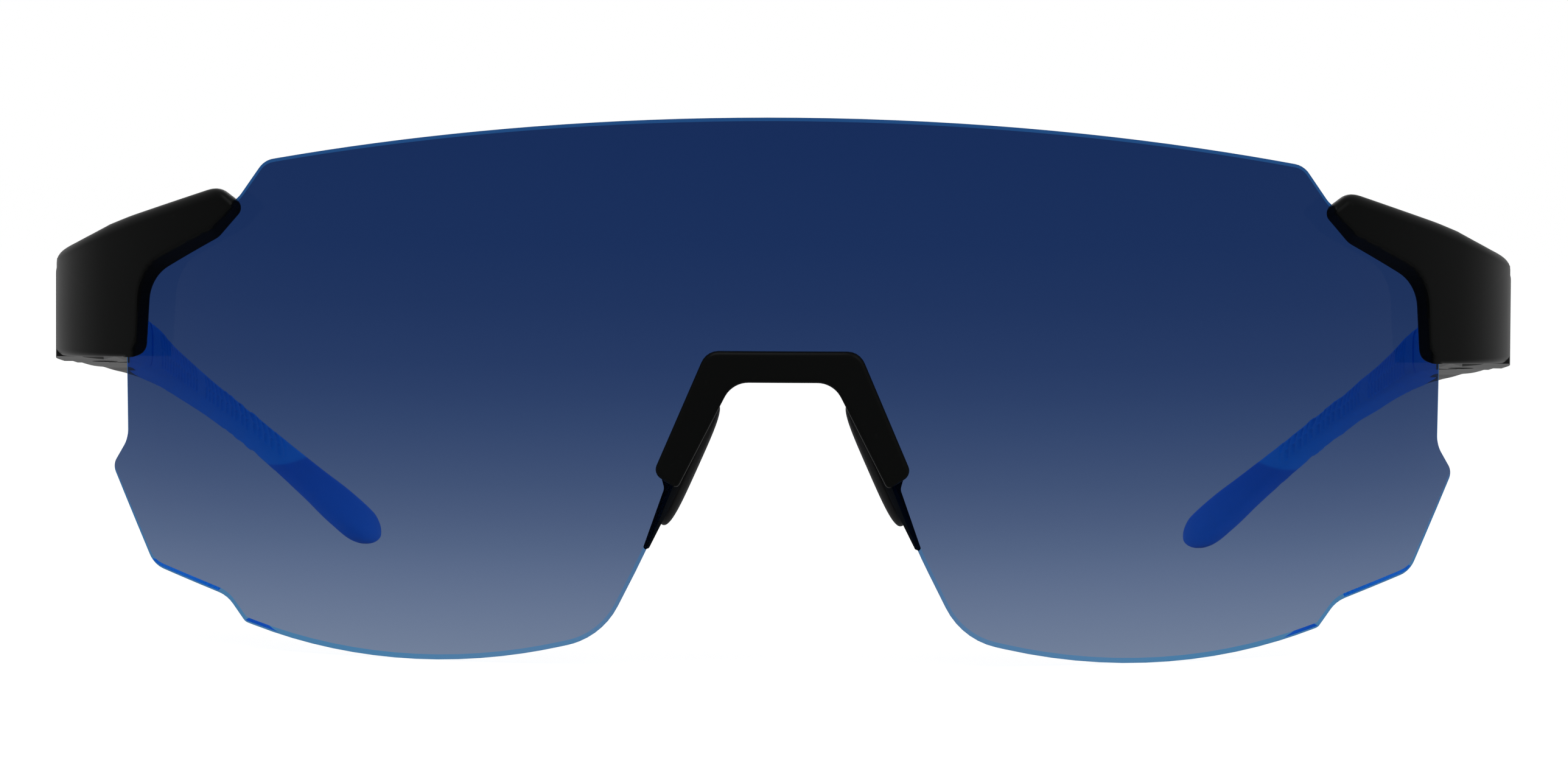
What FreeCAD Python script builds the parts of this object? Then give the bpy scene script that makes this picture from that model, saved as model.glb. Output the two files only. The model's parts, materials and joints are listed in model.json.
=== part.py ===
import FreeCAD, Part
import math
import os

# Wraparound sport sunglasses: a one-piece shield lens clamped at both ends between a front cover
# and a hinge block, a bridge snapped over the nose notch, and two folding temples.
# Millimetres. X to the wearer's left, Y backwards from the lens apex, Z up; moved onto its origin at the end.
# The pieces of the wearer's left side are modelled, and mirrored for the right.
# Resizing: the endpieces hang on the lens's side and top, the hinge on the end of the side bend,
# the temples on the hinge, and the bridge, bracket and pads on the top of the nose notch.

Vec = FreeCAD.Vector

# ---------------------------------------------------------------- driving sizes
# lens
lens_radius = 80.0            # wrap of the front surface about an upright axis
lens_thickness = 2.0
lens_height = 50.0
lens_side = 63.2              # half width at the straight side below the endpieces
lens_edge_break = 0.3         # chamfer round the back edge
notch_x = 5.6                 # half width of the top of the nose notch
notch_top = 27.3

# bridge, nose bracket and pads; heights count from the top of the notch
bridge_above = 1.55
bridge_lip = 1.3              # lip that lines the notch
bridge_length = 11.0          # legs down the sides of the notch
bridge_proud = 1.45           # band in front of the lens
bridge_edge_bevel = 0.4
bracket_thickness = 2.4
bracket_length = 16.8
peg_radius = 0.6
peg_x = 4.95
peg_below = 0.9
wing_thickness = 1.0
wing_length = 5.0
wing_rise = 2.0               # wing's middle above its pad's, along the pad
wing_reach = 6.6              # wing from the bracket back under its pad
wing_inset = 1.2              # pad's rear edge beyond its wing
pad_length = 12.5
pad_width = 6.4
pad_thickness = 1.6
pad_corner_radius = 2.7
pad_x = 8.6
pad_depth = 8.6
pad_below = 9.1
pad_splay = 6.0               # degrees the pads open towards the face
pad_lean = 24.0               # degrees the pads lean with the side of the nose

# endpieces
endpiece_overhang = 9.1       # outer face of an endpiece beyond the straight side of the lens
cover_proud = 2.4             # cover surface in front of the lens
cover_wall = 2.35
cover_reach = 12.7            # tip of the cover inside the side of the lens
cover_drop = 22.8             # lower edge below the top of the lens
cover_to_hinge = 11.0         # rear edge in front of the hinge
cover_edge_bevel = 0.9
side_bend_radius = 35.0       # bend from the front into the side
shoulder_to_hinge = 21.0      # where the top starts to narrow to the temple
shoulder_drop = 12.0
clamp_wall = 2.2              # hinge block behind the lens
block_inset = 1.1             # hinge block set back behind the cover's inner contour
block_tip_radius = 0.3
gasket_thickness = 0.5
gasket_inset = 0.25           # from the edges of the lens and the clamp pad
clamp_screw_radius = 0.6
clamp_head_radius = 1.0
clamp_head_height = 0.7
clamp_screw_reach = 1.1       # screw end inside the cover
clamp_screw_places = [(0.7, 12.0), (4.25, 19.0)]   # past the side of the lens, below its top

# hinge
hinge_inset = 4.1             # axis inside the outer face
hinge_past_bend = 4.25        # axis behind the end of the side bend
hinge_drop = 21.0             # middle of the tongue below the top of the lens
ear_radius = 2.3
tongue_height = 2.9
hinge_neck = 1.5              # neck of the tongue inside the temple
hinge_shank_radius = 0.7
hinge_head_radius = 1.35
hinge_head_height = 0.8
screw_slot_width = 0.4
screw_slot_depth = 0.35
insert_radius = 1.25
insert_height = 1.1

# temples: stations counted from the hinge (distance behind it, inner and outer face, bottom, top)
temple_rows = [
    (0.15, -2.2, 4.1, -3.25, 3.4),
    (3.5, -2.2, 4.1, -3.5, 2.9),
    (7.0, -2.2, 4.1, -3.75, 2.35),
    (11.0, -2.2, 4.1, -4.05, 1.8),
    (14.5, -2.25, 4.0, -4.3, 1.35),
    (18.0, -2.4, 3.3, -4.55, 0.9),
    (20.5, -2.55, 2.5, -4.75, 0.65),
    (23.0, -2.7, 1.8, -4.95, 0.35),
    (26.5, -2.9, 1.05, -5.2, -0.15),
    (31.0, -3.1, 0.45, -5.65, -1.0),
    (43.0, -3.7, -0.5, -7.15, -3.2),
    (56.0, -4.7, -1.75, -9.25, -5.9),
    (69.0, -7.0, -4.1, -12.45, -9.5),
    (81.0, -10.3, -7.45, -16.75, -13.8),
    (92.0, -14.4, -11.2, -21.95, -18.3),
    (99.0, -17.35, -13.75, -25.75, -21.25),
    (103.5, -19.1, -15.75, -28.05, -23.5),
    (106.5, -20.0, -17.2, -28.85, -25.1),
    (108.0, -20.0, -18.3, -28.1, -26.4),
]
temple_bevel = 0.9            # corner bevel of a section
temple_bevel_share = 0.3      # and at most this share of its smaller side
grip_wall = 1.4               # soft layer on the inner side
grip_from_hinge = 20.0        # where the soft layer begins
shell_length = 94.0           # from the hinge to where the hard shell stops and the tip is all soft
tang_length = 8.0             # hard tang inside the soft tip
tang_root = 3.0               # length where it grows out of the shell
tang_sides = (-0.8, 0.5)      # its faces either side of the seam
tang_height = 2.4
rib_from_hinge = 27.0
rib_count = 24
rib_pitch = 2.4
rib_groove = 0.9
rib_depth = 0.35
rib_slant = 8.0               # degrees
rib_low = 0.22                # ends of a groove, as shares of the temple's height
rib_high = 0.78

# clearances
seat_gap = 0.05               # between pieces that are pressed or screwed together
lens_play = 0.15              # edge of the lens in the pocket of its hinge block
running_gap = 0.05            # hinge screw in the tongue
hinge_gap = 0.15              # between the faces that fold past each other

# ---------------------------------------------------------------- derived places
beyond = 4 * lens_height      # past every piece, for solids that only trim
bridge_top = notch_top + bridge_above
bridge_inner_top = notch_top - bridge_lip
bridge_foot = notch_top - bridge_length
bracket_foot = notch_top - bracket_length
peg_place = (peg_x, notch_top - peg_below)
pad_centre = Vec(pad_x, pad_depth, notch_top - pad_below)
half_width = lens_side + endpiece_overhang
cover_bottom = lens_height - cover_drop
shoulder_height = lens_height - shoulder_drop
tongue_middle = lens_height - hinge_drop
lens_back = lens_radius - lens_thickness
outer_radius = lens_radius + cover_proud
gasket_back = lens_back - gasket_thickness
block_inner = gasket_back - clamp_wall
side_centre_x = half_width - side_bend_radius
centre_distance = outer_radius - side_bend_radius
side_centre_depth = lens_radius - math.sqrt(centre_distance ** 2 - side_centre_x ** 2)
bend_start = math.degrees(math.asin(side_centre_x / centre_distance))
cover_start = math.degrees(math.asin((lens_side - cover_reach - 2 * cover_proud) / outer_radius))
hinge_x = half_width - hinge_inset
hinge_depth = side_centre_depth + hinge_past_bend
cover_rear = hinge_depth - cover_to_hinge
shoulder_depth = hinge_depth - shoulder_to_hinge
knuckle_inner_x = hinge_x - ear_radius
knuckle_outer_x = hinge_x + ear_radius
tongue_low = tongue_middle - tongue_height / 2
tongue_high = tongue_middle + tongue_height / 2
temple_stations = [
    (hinge_depth + behind, hinge_x + inner, hinge_x + outer, tongue_middle + bottom, tongue_middle + top)
    for behind, inner, outer, bottom, top in temple_rows
]
temple_front = temple_stations[0]
grip_start = hinge_depth + grip_from_hinge
shell_end = hinge_depth + shell_length
rib_start = hinge_depth + rib_from_hinge
up = Vec(0, 0, 1)


# ---------------------------------------------------------------- geometry helpers
def on_front(y):
    """Places outline points (x, z) on the upright plane at depth y."""
    return lambda u, v: Vec(u, y, v)


def on_plan(z):
    """Places outline points (x, depth) on the level plane at height z."""
    return lambda u, v: Vec(u, v, z)


def on_side(x):
    """Places outline points (depth, z) on the upright plane at x."""
    return lambda u, v: Vec(x, u, v)


def outline_wire(corners, place):
    """Closed wire of straight runs joined by tangent arcs; each corner is (u, v, radius)."""
    arcs = []
    for i, (u, v, radius) in enumerate(corners):
        before = corners[i - 1]
        after = corners[(i + 1) % len(corners)]
        back = Vec(before[0] - u, before[1] - v, 0).normalize()
        ahead = Vec(after[0] - u, after[1] - v, 0).normalize()
        half_turn = (math.pi - back.getAngle(ahead)) / 2
        corner = Vec(u, v, 0)
        reach = radius * math.tan(half_turn)
        sagitta = radius / math.cos(half_turn) - radius
        middle = corner + (back + ahead).normalize() * sagitta if radius else corner
        arcs.append([place(p.x, p.y) for p in (corner + back * reach, middle, corner + ahead * reach)])
    edges = []
    for i, (start, middle, end) in enumerate(arcs):
        if start.distanceToPoint(end) > 1e-4:
            edges.append(Part.Arc(start, middle, end).toShape())
        following = arcs[(i + 1) % len(arcs)][0]
        if end.distanceToPoint(following) > 1e-4:
            edges.append(Part.LineSegment(end, following).toShape())
    return Part.Wire(edges)


def offset_corners(corners, distance):
    """The outline moved outwards: each side shifts parallel to itself and each round keeps its centre."""
    count = len(corners)
    area = sum(corners[i - 1][0] * corners[i][1] - corners[i][0] * corners[i - 1][1] for i in range(count))
    hand = 1 if area > 0 else -1
    moved = []
    for i, (u, v, radius) in enumerate(corners):
        arriving = Vec(u - corners[i - 1][0], v - corners[i - 1][1], 0).normalize()
        after = corners[(i + 1) % count]
        leaving = Vec(after[0] - u, after[1] - v, 0).normalize()
        normals = [Vec(way.y, -way.x, 0) * hand for way in (arriving, leaving)]
        mitre = (normals[0] + normals[1]) * (distance / (1 + normals[0].dot(normals[1])))
        convex = hand * arriving.cross(leaving).z > 0
        grown = radius + distance if convex else radius - distance
        moved.append((u + mitre.x, v + mitre.y, max(grown, 0.05) if radius else 0))
    return moved


def prism(corners, place, along):
    """Solid from a cornered outline on one plane, swept along a vector."""
    return Part.Face(outline_wire(corners, place)).extrude(along)


def front_prism(corners):
    """Prism through the whole depth of the glasses from an outline seen from the front."""
    return prism(corners, on_front(-beyond), Vec(0, 2 * beyond, 0))


def mirrored_corners(corners):
    """Half of an outline followed by its mirror image."""
    flipped = [(-u, v, radius) for u, v, radius in reversed(corners) if abs(u) > 1e-6]
    return corners + flipped


def mirrored(shape):
    return shape.mirror(Vec(0, 0, 0), Vec(1, 0, 0))


def wrap_point(radius, degrees, z):
    """Point on a wrap surface, its angle counted from straight ahead towards the modelled side."""
    turn = math.radians(degrees)
    return Vec(radius * math.sin(turn), lens_radius - radius * math.cos(turn), z)


def wrap_arc(radius, start_degrees, end_degrees, z):
    middle = (start_degrees + end_degrees) / 2
    return Part.Arc(*[wrap_point(radius, a, z) for a in (start_degrees, middle, end_degrees)]).toShape()


def wrap_ring(inner, outer, start_degrees=-89.0, end_degrees=89.0, low=-beyond, high=beyond):
    """Upright ring sector between two wrap surfaces."""
    sides = [Part.LineSegment(wrap_point(inner, degrees, low), wrap_point(outer, degrees, low)).toShape()
             for degrees in (start_degrees, end_degrees)]
    arcs = [wrap_arc(radius, start_degrees, end_degrees, low) for radius in (inner, outer)]
    return Part.Face(Part.Wire(Part.__sortEdges__(sides + arcs))).extrude(up * (high - low))


def wrap_pin(degrees, height, start_radius, end_radius, radius):
    """Pin square to the lens, from one wrap radius to another."""
    start = wrap_point(start_radius, degrees, height)
    outward = wrap_point(end_radius, degrees, height) - start
    return Part.makeCylinder(radius, outward.Length, start, outward)


def box(low, high):
    return Part.makeBox(high[0] - low[0], high[1] - low[1], high[2] - low[2], Vec(*low))


def edges_where(shape, keep):
    """Edges whose middle and quarter points all satisfy a test."""
    chosen = []
    for edge in shape.Edges:
        first, last = edge.ParameterRange
        points = [edge.valueAt(first + (last - first) * share) for share in (0.25, 0.5, 0.75)]
        if all(keep(p) for p in points):
            chosen.append(edge)
    return chosen


def wrap_distance(p):
    """Distance of a point from the lens's wrap axis, seen from above."""
    return math.hypot(p.x, lens_radius - p.y)


# ---------------------------------------------------------------- lens
def lens_corners():
    """Outline of the lens from the front: half of it from the top centre down to the nose notch, mirrored."""
    side = lens_side
    top = lens_height
    return mirrored_corners([
        (0.0, top + 3.85, 293.0),
        (side - 14.6, top - 4.05, 2.2),
        (side - 11.8, top - 7.8, 2.5),
        (side - 1.9, top - 11.1, 2.5),
        (side, top - 19.0, 4.0),
        (side - 0.2, 19.2, 3.0),
        (side + 1.55, 16.5, 1.3),
        (side - 3.1, 7.26, 2.5),
        (side - 10.9, 4.9, 3.0),
        (side - 12.74, 2.58, 0.8),
        (side - 28.1, -1.9, 57.0),
        (notch_x + 10.79, 2.6, 7.0),
        (notch_x + 6.6, notch_top - 16.4, 60.0),
        (notch_x, notch_top, 1.0),
    ])


def make_lens():
    """Shield cut from a cylindrical blank, its back edge broken."""
    lens = wrap_ring(lens_back, lens_radius).common(front_prism(lens_corners())).Solids[0]
    back_edges = edges_where(lens, lambda p: abs(wrap_distance(p) - lens_back) < 1e-3)
    return lens.makeChamfer(lens_edge_break, back_edges)


# ---------------------------------------------------------------- bridge and nose piece
def bridge_corners():
    """Inverted U over the nose notch, its legs leaning with the notch."""
    return mirrored_corners([
        (notch_x + 1.36, bridge_top, 1.2),
        (notch_x + 6.15, bridge_foot + 1.4, 0.5),
        (notch_x + 3.95, bridge_foot, 0.5),
        (notch_x - 1.01, bridge_inner_top, 2.4),
    ])


def bracket_corners():
    """Carrier behind the lens: hidden by the bridge above, then a slim leg down each edge of the notch."""
    return mirrored_corners([
        (notch_x + 0.9, bridge_top - 0.65, 0.8),
        (notch_x + 5.5, bridge_foot + 1.2, 0.6),
        (notch_x + 5.15, bridge_foot - 0.1, 0.8),
        (notch_x + 7.15, bracket_foot, 0.2),
        (notch_x + 6.55, bracket_foot + 0.2, 0.2),
        (notch_x + 4.0, bridge_foot - 0.5, 3.0),
        (notch_x - 0.85, bridge_inner_top + 0.15, 2.2),
    ])


def snap_pegs(radius, front, back):
    x, z = peg_place
    backwards = Vec(0, 1, 0)
    return [Part.makeCylinder(radius, back - front, Vec(side * x, front, z), backwards) for side in (-1, 1)]


def make_bridge():
    """Band on the front of the lens, with a lip through the notch that takes the bracket's pegs."""
    outline = front_prism(bridge_corners())
    band = wrap_ring(lens_radius + seat_gap, lens_radius + bridge_proud).common(outline)
    front_edges = edges_where(band, lambda p: abs(wrap_distance(p) - lens_radius - bridge_proud) < 1e-3)
    band = band.makeChamfer(bridge_edge_bevel, front_edges)
    lip = wrap_ring(lens_back, lens_radius + 2 * seat_gap).common(outline)
    lip = lip.cut(front_prism(offset_corners(lens_corners(), 2 * seat_gap)))
    holes = snap_pegs(peg_radius + seat_gap, -bridge_proud / 2, lens_radius)
    return band.fuse(lip).removeSplitter().cut(holes)


def pad_frame():
    """Position and turn of the modelled pad: length up the nose, width backwards, thickness inwards."""
    length_way = Vec(-math.sin(math.radians(pad_lean)), 0, math.cos(math.radians(pad_lean)))
    width_way = Vec(math.sin(math.radians(pad_splay)), math.cos(math.radians(pad_splay)), 0)
    inward = length_way.cross(width_way).normalize()
    width_way = inward.cross(length_way)
    turn = FreeCAD.Rotation(length_way, width_way, inward, "XYZ")
    return FreeCAD.Placement(pad_centre, turn)


def make_pad():
    """Soft pad: a slab with round corners."""
    half_length = pad_length / 2
    half_width_of_pad = pad_width / 2
    corners = [(u * half_length, v * half_width_of_pad, pad_corner_radius)
               for u, v in ((1, 1), (-1, 1), (-1, -1), (1, -1))]
    pad = prism(corners, on_plan(-pad_thickness / 2), up * pad_thickness)
    pad.Placement = pad_frame()
    return pad


def make_bracket():
    """Carrier with snap pegs forward into the bridge and a wing back under each pad."""
    carrier_front = lens_back - seat_gap
    carrier = wrap_ring(carrier_front - bracket_thickness, carrier_front)
    carrier = carrier.common(front_prism(bracket_corners()))
    wing_top = -pad_thickness / 2 - seat_gap
    rear = pad_width / 2 - wing_inset
    wing = box((wing_rise - wing_length / 2, rear - wing_reach, wing_top - wing_thickness),
               (wing_rise + wing_length / 2, rear, wing_top))
    wing.Placement = pad_frame()
    keep_behind_lens = wrap_ring(carrier_front / 2, carrier_front)
    wing = wing.common(keep_behind_lens)
    pegs = snap_pegs(peg_radius, -bridge_proud / 2 + 2 * seat_gap, lens_thickness + bracket_thickness)
    return carrier.fuse([wing, mirrored(wing)] + pegs).removeSplitter()


# ---------------------------------------------------------------- endpieces (left side)
def cover_corners():
    """Boomerang outline of an endpiece from the front: inner contour down from the tip, then the top back."""
    tip = lens_side - cover_reach
    top = lens_height
    return [
        (tip + 2.4, top - 6.6, 2.0),
        (tip, top - 8.4, 1.6),
        (tip + 2.7, top - 11.3, 2.5),
        (lens_side - 2.75, top - 15.2, 4.0),
        (lens_side - 2.25, cover_bottom, 1.4),
        (half_width + 4, cover_bottom - 0.8, 0),
        (half_width + 4, top - 15.5, 0),
        (lens_side - 0.7, top - 9.65, 30.0),
    ]


def block_bottom(depth):
    """Underside of the side of the glasses, falling gently towards the temple."""
    front = cover_bottom - 0.6
    slope = (temple_front[3] - front) / (hinge_depth - cover_rear)
    return front + slope * max(depth - cover_rear, 0)


def block_top(depth):
    """Top of the side of the glasses, narrowing from the shoulder to the temple."""
    slope = (temple_front[4] - shoulder_height) / (hinge_depth - shoulder_depth)
    return shoulder_height + slope * (depth - shoulder_depth)


def side_prism():
    """Side view of an endpiece, swept across its width."""
    rear = hinge_depth + 2 * ear_radius
    corners = [
        (-beyond, block_bottom(0), 0),
        (cover_rear, block_bottom(cover_rear), 0),
        (rear, block_bottom(rear), 0),
        (rear, block_top(rear), 0),
        (shoulder_depth, shoulder_height, 20.0),
        (shoulder_depth - 2 * shoulder_drop, lens_height, 0),
        (-beyond, lens_height, 0),
    ]
    return prism(corners, on_side(0), Vec(beyond, 0, 0))


def side_path(offset, start_degrees, end_depth):
    """Edges of the endpiece's outer surface seen from above, moved in by an offset."""
    bend_radius = side_bend_radius - offset
    centre = Vec(side_centre_x, side_centre_depth, 0)

    def bend_point(degrees):
        turn = math.radians(degrees)
        return centre + Vec(bend_radius * math.sin(turn), -bend_radius * math.cos(turn), 0)

    middle = (bend_start + 90) / 2
    last = Vec(half_width - offset, end_depth, 0)
    return [
        wrap_arc(outer_radius - offset, start_degrees, bend_start, 0),
        Part.Arc(bend_point(bend_start), bend_point(middle), bend_point(90)).toShape(),
        Part.LineSegment(bend_point(90), last).toShape(),
    ]


def plan_shell(outer_offset, inner_offset):
    """Upright band between two offsets of the endpiece's outer surface, from the tip to the hinge."""
    outer = side_path(outer_offset, cover_start, hinge_depth)
    inner = side_path(inner_offset, cover_start, hinge_depth)
    rear = Part.LineSegment(outer[-1].Vertexes[-1].Point, inner[-1].Vertexes[-1].Point).toShape()
    front = Part.LineSegment(outer[0].Vertexes[0].Point, inner[0].Vertexes[0].Point).toShape()
    wire = Part.Wire(Part.__sortEdges__(outer + [rear] + inner + [front]))
    return Part.Face(wire).extrude(up * beyond)


def outside_distance(p):
    """How far a point lies inside the endpiece's outer surface, seen from above."""
    bend = math.atan2(p.x - side_centre_x, side_centre_depth - p.y)
    if bend < math.radians(bend_start):
        return outer_radius - wrap_distance(p)
    return side_bend_radius - math.hypot(p.x - side_centre_x, p.y - side_centre_depth)


def make_cover():
    """Front shell of one wall thickness, its whole outer edge bevelled, with blind screw holes behind."""
    plate = plan_shell(0, cover_wall).common(front_prism(cover_corners())).Solids[0]

    def on_outer_edge(p):
        return abs(outside_distance(p)) < 1e-3 and p.y < side_centre_depth

    edges = [e for e in edges_where(plate, on_outer_edge) if e.BoundBox.XLength > 0.01]
    cover = plate.makeChamfer(cover_edge_bevel, edges)
    cover = cover.common(side_prism()).common(box((0, -beyond, 0), (beyond, cover_rear, beyond)))
    for degrees, height in clamp_axes():
        end = lens_radius + clamp_screw_reach
        cover = cover.cut(wrap_pin(degrees, height, lens_back, end, clamp_screw_radius + seat_gap))
    return cover.removeSplitter()


def clamp_axes():
    """Turn round the lens, in degrees, and height of each clamp screw."""
    return [(math.degrees(math.asin((lens_side + past) / lens_radius)), lens_height - below)
            for past, below in clamp_screw_places]


def block_plan():
    """Hinge block seen from above: clamp pad behind the lens, side wall, and the ears round the hinge."""
    outer = side_path(cover_wall + seat_gap, cover_start, cover_rear + seat_gap)
    outer = outer[:1]
    bend_radius = side_bend_radius - cover_wall - seat_gap
    step_depth = cover_rear + seat_gap
    start = outer[0].Vertexes[-1].Point
    drop = side_centre_depth - step_depth
    end_degrees = math.degrees(math.acos(drop / bend_radius))

    def bend_point(radius, degrees):
        turn = math.radians(degrees)
        return Vec(side_centre_x + radius * math.sin(turn), side_centre_depth - radius * math.cos(turn), 0)

    inner_step = bend_point(bend_radius, end_degrees)
    outer_degrees = math.degrees(math.acos(drop / side_bend_radius))
    outer_step = bend_point(side_bend_radius, outer_degrees)
    wall_rear = Vec(half_width, hinge_depth, 0)
    ear_outer = Vec(knuckle_outer_x, hinge_depth, 0)
    ear_rear = Vec(hinge_x, hinge_depth + ear_radius, 0)
    ear_inner = Vec(knuckle_inner_x, hinge_depth, 0)
    meet_degrees = math.degrees(math.asin(knuckle_inner_x / block_inner))
    meet = wrap_point(block_inner, meet_degrees, 0)
    edges = outer + [
        Part.Arc(start, bend_point(bend_radius, (bend_start + end_degrees) / 2), inner_step).toShape(),
        Part.LineSegment(inner_step, outer_step).toShape(),
        Part.Arc(outer_step, bend_point(side_bend_radius, (outer_degrees + 90) / 2),
                 bend_point(side_bend_radius, 90)).toShape(),
        Part.LineSegment(bend_point(side_bend_radius, 90), wall_rear).toShape(),
        Part.LineSegment(wall_rear, ear_outer).toShape(),
        Part.Arc(ear_outer, ear_rear, ear_inner).toShape(),
        Part.LineSegment(ear_inner, meet).toShape(),
        wrap_arc(block_inner, meet_degrees, cover_start, 0),
        Part.LineSegment(wrap_point(block_inner, cover_start, 0), outer[0].Vertexes[0].Point).toShape(),
    ]
    return Part.Face(Part.Wire(Part.__sortEdges__(edges)))


def block_corners():
    """The block from the front: hidden by the cover beside the lens, free to hang lower at the side."""
    tip, bend, elbow, foot = offset_corners(cover_corners(), -block_inset)[1:5]
    low = foot[1]
    return [
        (tip[0], tip[1], block_tip_radius),
        bend,
        elbow,
        (foot[0], low, 0.5),
        (knuckle_inner_x, low - 0.05, 0),
        (knuckle_inner_x, 0.0, 0),
        (half_width + 4, 0.0, 0),
    ] + cover_corners()[-2:]


def hinge_pin(radius, low, high):
    return Part.makeCylinder(radius, high - low, Vec(hinge_x, hinge_depth, low), up)


def screw_head_top():
    return block_top(hinge_depth + hinge_head_radius) - 0.1


def insert_low():
    return block_bottom(hinge_depth) + 0.2


def make_hinge_block():
    """Clamps the lens from behind and carries the two hinge ears."""
    block = block_plan().extrude(up * beyond).common(front_prism(block_corners())).common(side_prism())
    slot = wrap_ring(gasket_back, lens_radius + cover_proud)
    slot = slot.common(front_prism(offset_corners(lens_corners(), lens_play)))
    knuckle_front = hinge_depth - ear_radius - hinge_gap
    tongue_space = box((0, knuckle_front, tongue_low - hinge_gap),
                       (knuckle_outer_x + hinge_gap, beyond, tongue_high + hinge_gap))
    head_low = screw_head_top() - hinge_head_height
    cuts = [
        slot,
        tongue_space,
        hinge_pin(hinge_shank_radius + seat_gap, insert_low(), head_low),
        hinge_pin(hinge_head_radius + seat_gap, head_low - seat_gap, beyond),
        hinge_pin(insert_radius + seat_gap, 0, insert_low() + insert_height + seat_gap),
    ]
    for degrees, height in clamp_axes():
        hole_radius = clamp_screw_radius + seat_gap
        cuts.append(wrap_pin(degrees, height, block_inner - 2, lens_radius + 3, hole_radius))
    return block.cut(cuts)


def make_gasket():
    """Thin soft strip between the lens and the clamp pad."""
    strip = wrap_ring(gasket_back + seat_gap, lens_back - seat_gap, cover_start)
    strip = strip.common(front_prism(offset_corners(block_corners(), -gasket_inset)))
    return strip.common(front_prism(offset_corners(lens_corners(), -gasket_inset)))


def make_clamp_screws():
    """Two pan-head screws, driven outwards from behind the lens."""
    screws = []
    for degrees, height in clamp_axes():
        seat = block_inner - seat_gap
        end = lens_radius + clamp_screw_reach - seat_gap
        shank = wrap_pin(degrees, height, seat, end, clamp_screw_radius)
        head = wrap_pin(degrees, height, seat - clamp_head_height, seat, clamp_head_radius)
        screws.append(head.fuse(shank).removeSplitter())
    return Part.Compound([s.Solids[0] for s in screws])


# ---------------------------------------------------------------- hinge hardware (left side)
def make_hinge_screw():
    """The hinge axle: a slotted head sunk in the upper ear, its end in the insert."""
    top = screw_head_top()
    head = hinge_pin(hinge_head_radius, top - hinge_head_height, top)
    shank = hinge_pin(hinge_shank_radius, insert_low() + 0.1, top - hinge_head_height / 2)
    half_slot = screw_slot_width / 2
    slot = box((hinge_x - 2, hinge_depth - half_slot, top - screw_slot_depth),
               (hinge_x + 2, hinge_depth + half_slot, top + 1))
    return head.fuse(shank).removeSplitter().cut(slot)


def make_hinge_insert():
    """Brass bush in the lower ear that takes the end of the hinge screw."""
    low = insert_low()
    bush = hinge_pin(insert_radius, low, low + insert_height)
    return bush.cut(hinge_pin(hinge_shank_radius + seat_gap / 2, low - 1, low + insert_height + 1))


# ---------------------------------------------------------------- temples (left side)
def section_wire(depth, inner, outer, bottom, top):
    """Upright section of a temple: a rectangle with bevelled corners."""
    bevel = min(temple_bevel, temple_bevel_share * min(outer - inner, top - bottom))
    corners = [
        (inner + bevel, bottom),
        (outer - bevel, bottom),
        (outer, bottom + bevel),
        (outer, top - bevel),
        (outer - bevel, top),
        (inner + bevel, top),
        (inner, top - bevel),
        (inner, bottom + bevel),
    ]
    return Part.makePolygon([Vec(x, depth, z) for x, z in corners + corners[:1]])


def temple_at(depth, column):
    """Value of a station column at any depth, along straight runs between stations."""
    for before, after in zip(temple_stations, temple_stations[1:]):
        if depth <= after[0]:
            share = (depth - before[0]) / (after[0] - before[0])
            return before[column] + (after[column] - before[column]) * share
    return temple_stations[-1][column]


def make_envelope():
    """Smooth loft through every station, of low degree so that it doesn't swell between them."""
    return Part.makeLoft([section_wire(*station) for station in temple_stations], True, False, False, 2)


def soft_side():
    """Everything on the inner side of the line between shell and grip, and the whole tip."""
    depths = [grip_start] + [s[0] for s in temple_stations if grip_start < s[0] < shell_end] + [shell_end]
    low = -beyond
    seam = [Vec(temple_at(depth, 1) + grip_wall, depth, low) for depth in depths]
    curve = Part.BSplineCurve()
    curve.interpolate(seam)
    around = [(beyond, shell_end), (beyond, beyond), (0, beyond), (0, grip_start)]
    border = [seam[-1]] + [Vec(x, depth, low) for x, depth in around] + [seam[0]]
    edges = [curve.toShape()] + [Part.LineSegment(*ends).toShape() for ends in zip(border, border[1:])]
    return Part.Face(Part.Wire(edges)).extrude(up * 2 * beyond)


def make_tang():
    """Slim tang that grows out of the shell and runs on inside the soft tip."""
    wires = []
    for depth in (shell_end - tang_root, shell_end + tang_length):
        seam = temple_at(depth, 1) + grip_wall
        height = (temple_at(depth, 3) + temple_at(depth, 4)) / 2
        wires.append(section_wire(depth, seam + tang_sides[0], seam + tang_sides[1],
                                  height - tang_height / 2, height + tang_height / 2))
    return Part.makeLoft(wires, True, True)


def rib_grooves():
    """A row of slanted grooves across the inner face."""
    grooves = []
    for i in range(rib_count):
        depth = rib_start + i * rib_pitch
        toe = math.degrees(math.atan2(temple_at(depth - 1, 1) - temple_at(depth + 1, 1), 2))
        bottom = temple_at(depth, 3)
        height = temple_at(depth, 4) - bottom
        bar = box((-grip_wall, -rib_groove / 2, rib_low * height),
                  (rib_depth, rib_groove / 2, rib_high * height))
        bar.rotate(Vec(0, 0, rib_low * height), Vec(1, 0, 0), rib_slant)
        bar.rotate(Vec(0, 0, 0), up, toe)
        bar.translate(Vec(temple_at(depth, 1), depth, bottom))
        grooves.append(bar)
    return grooves


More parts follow.
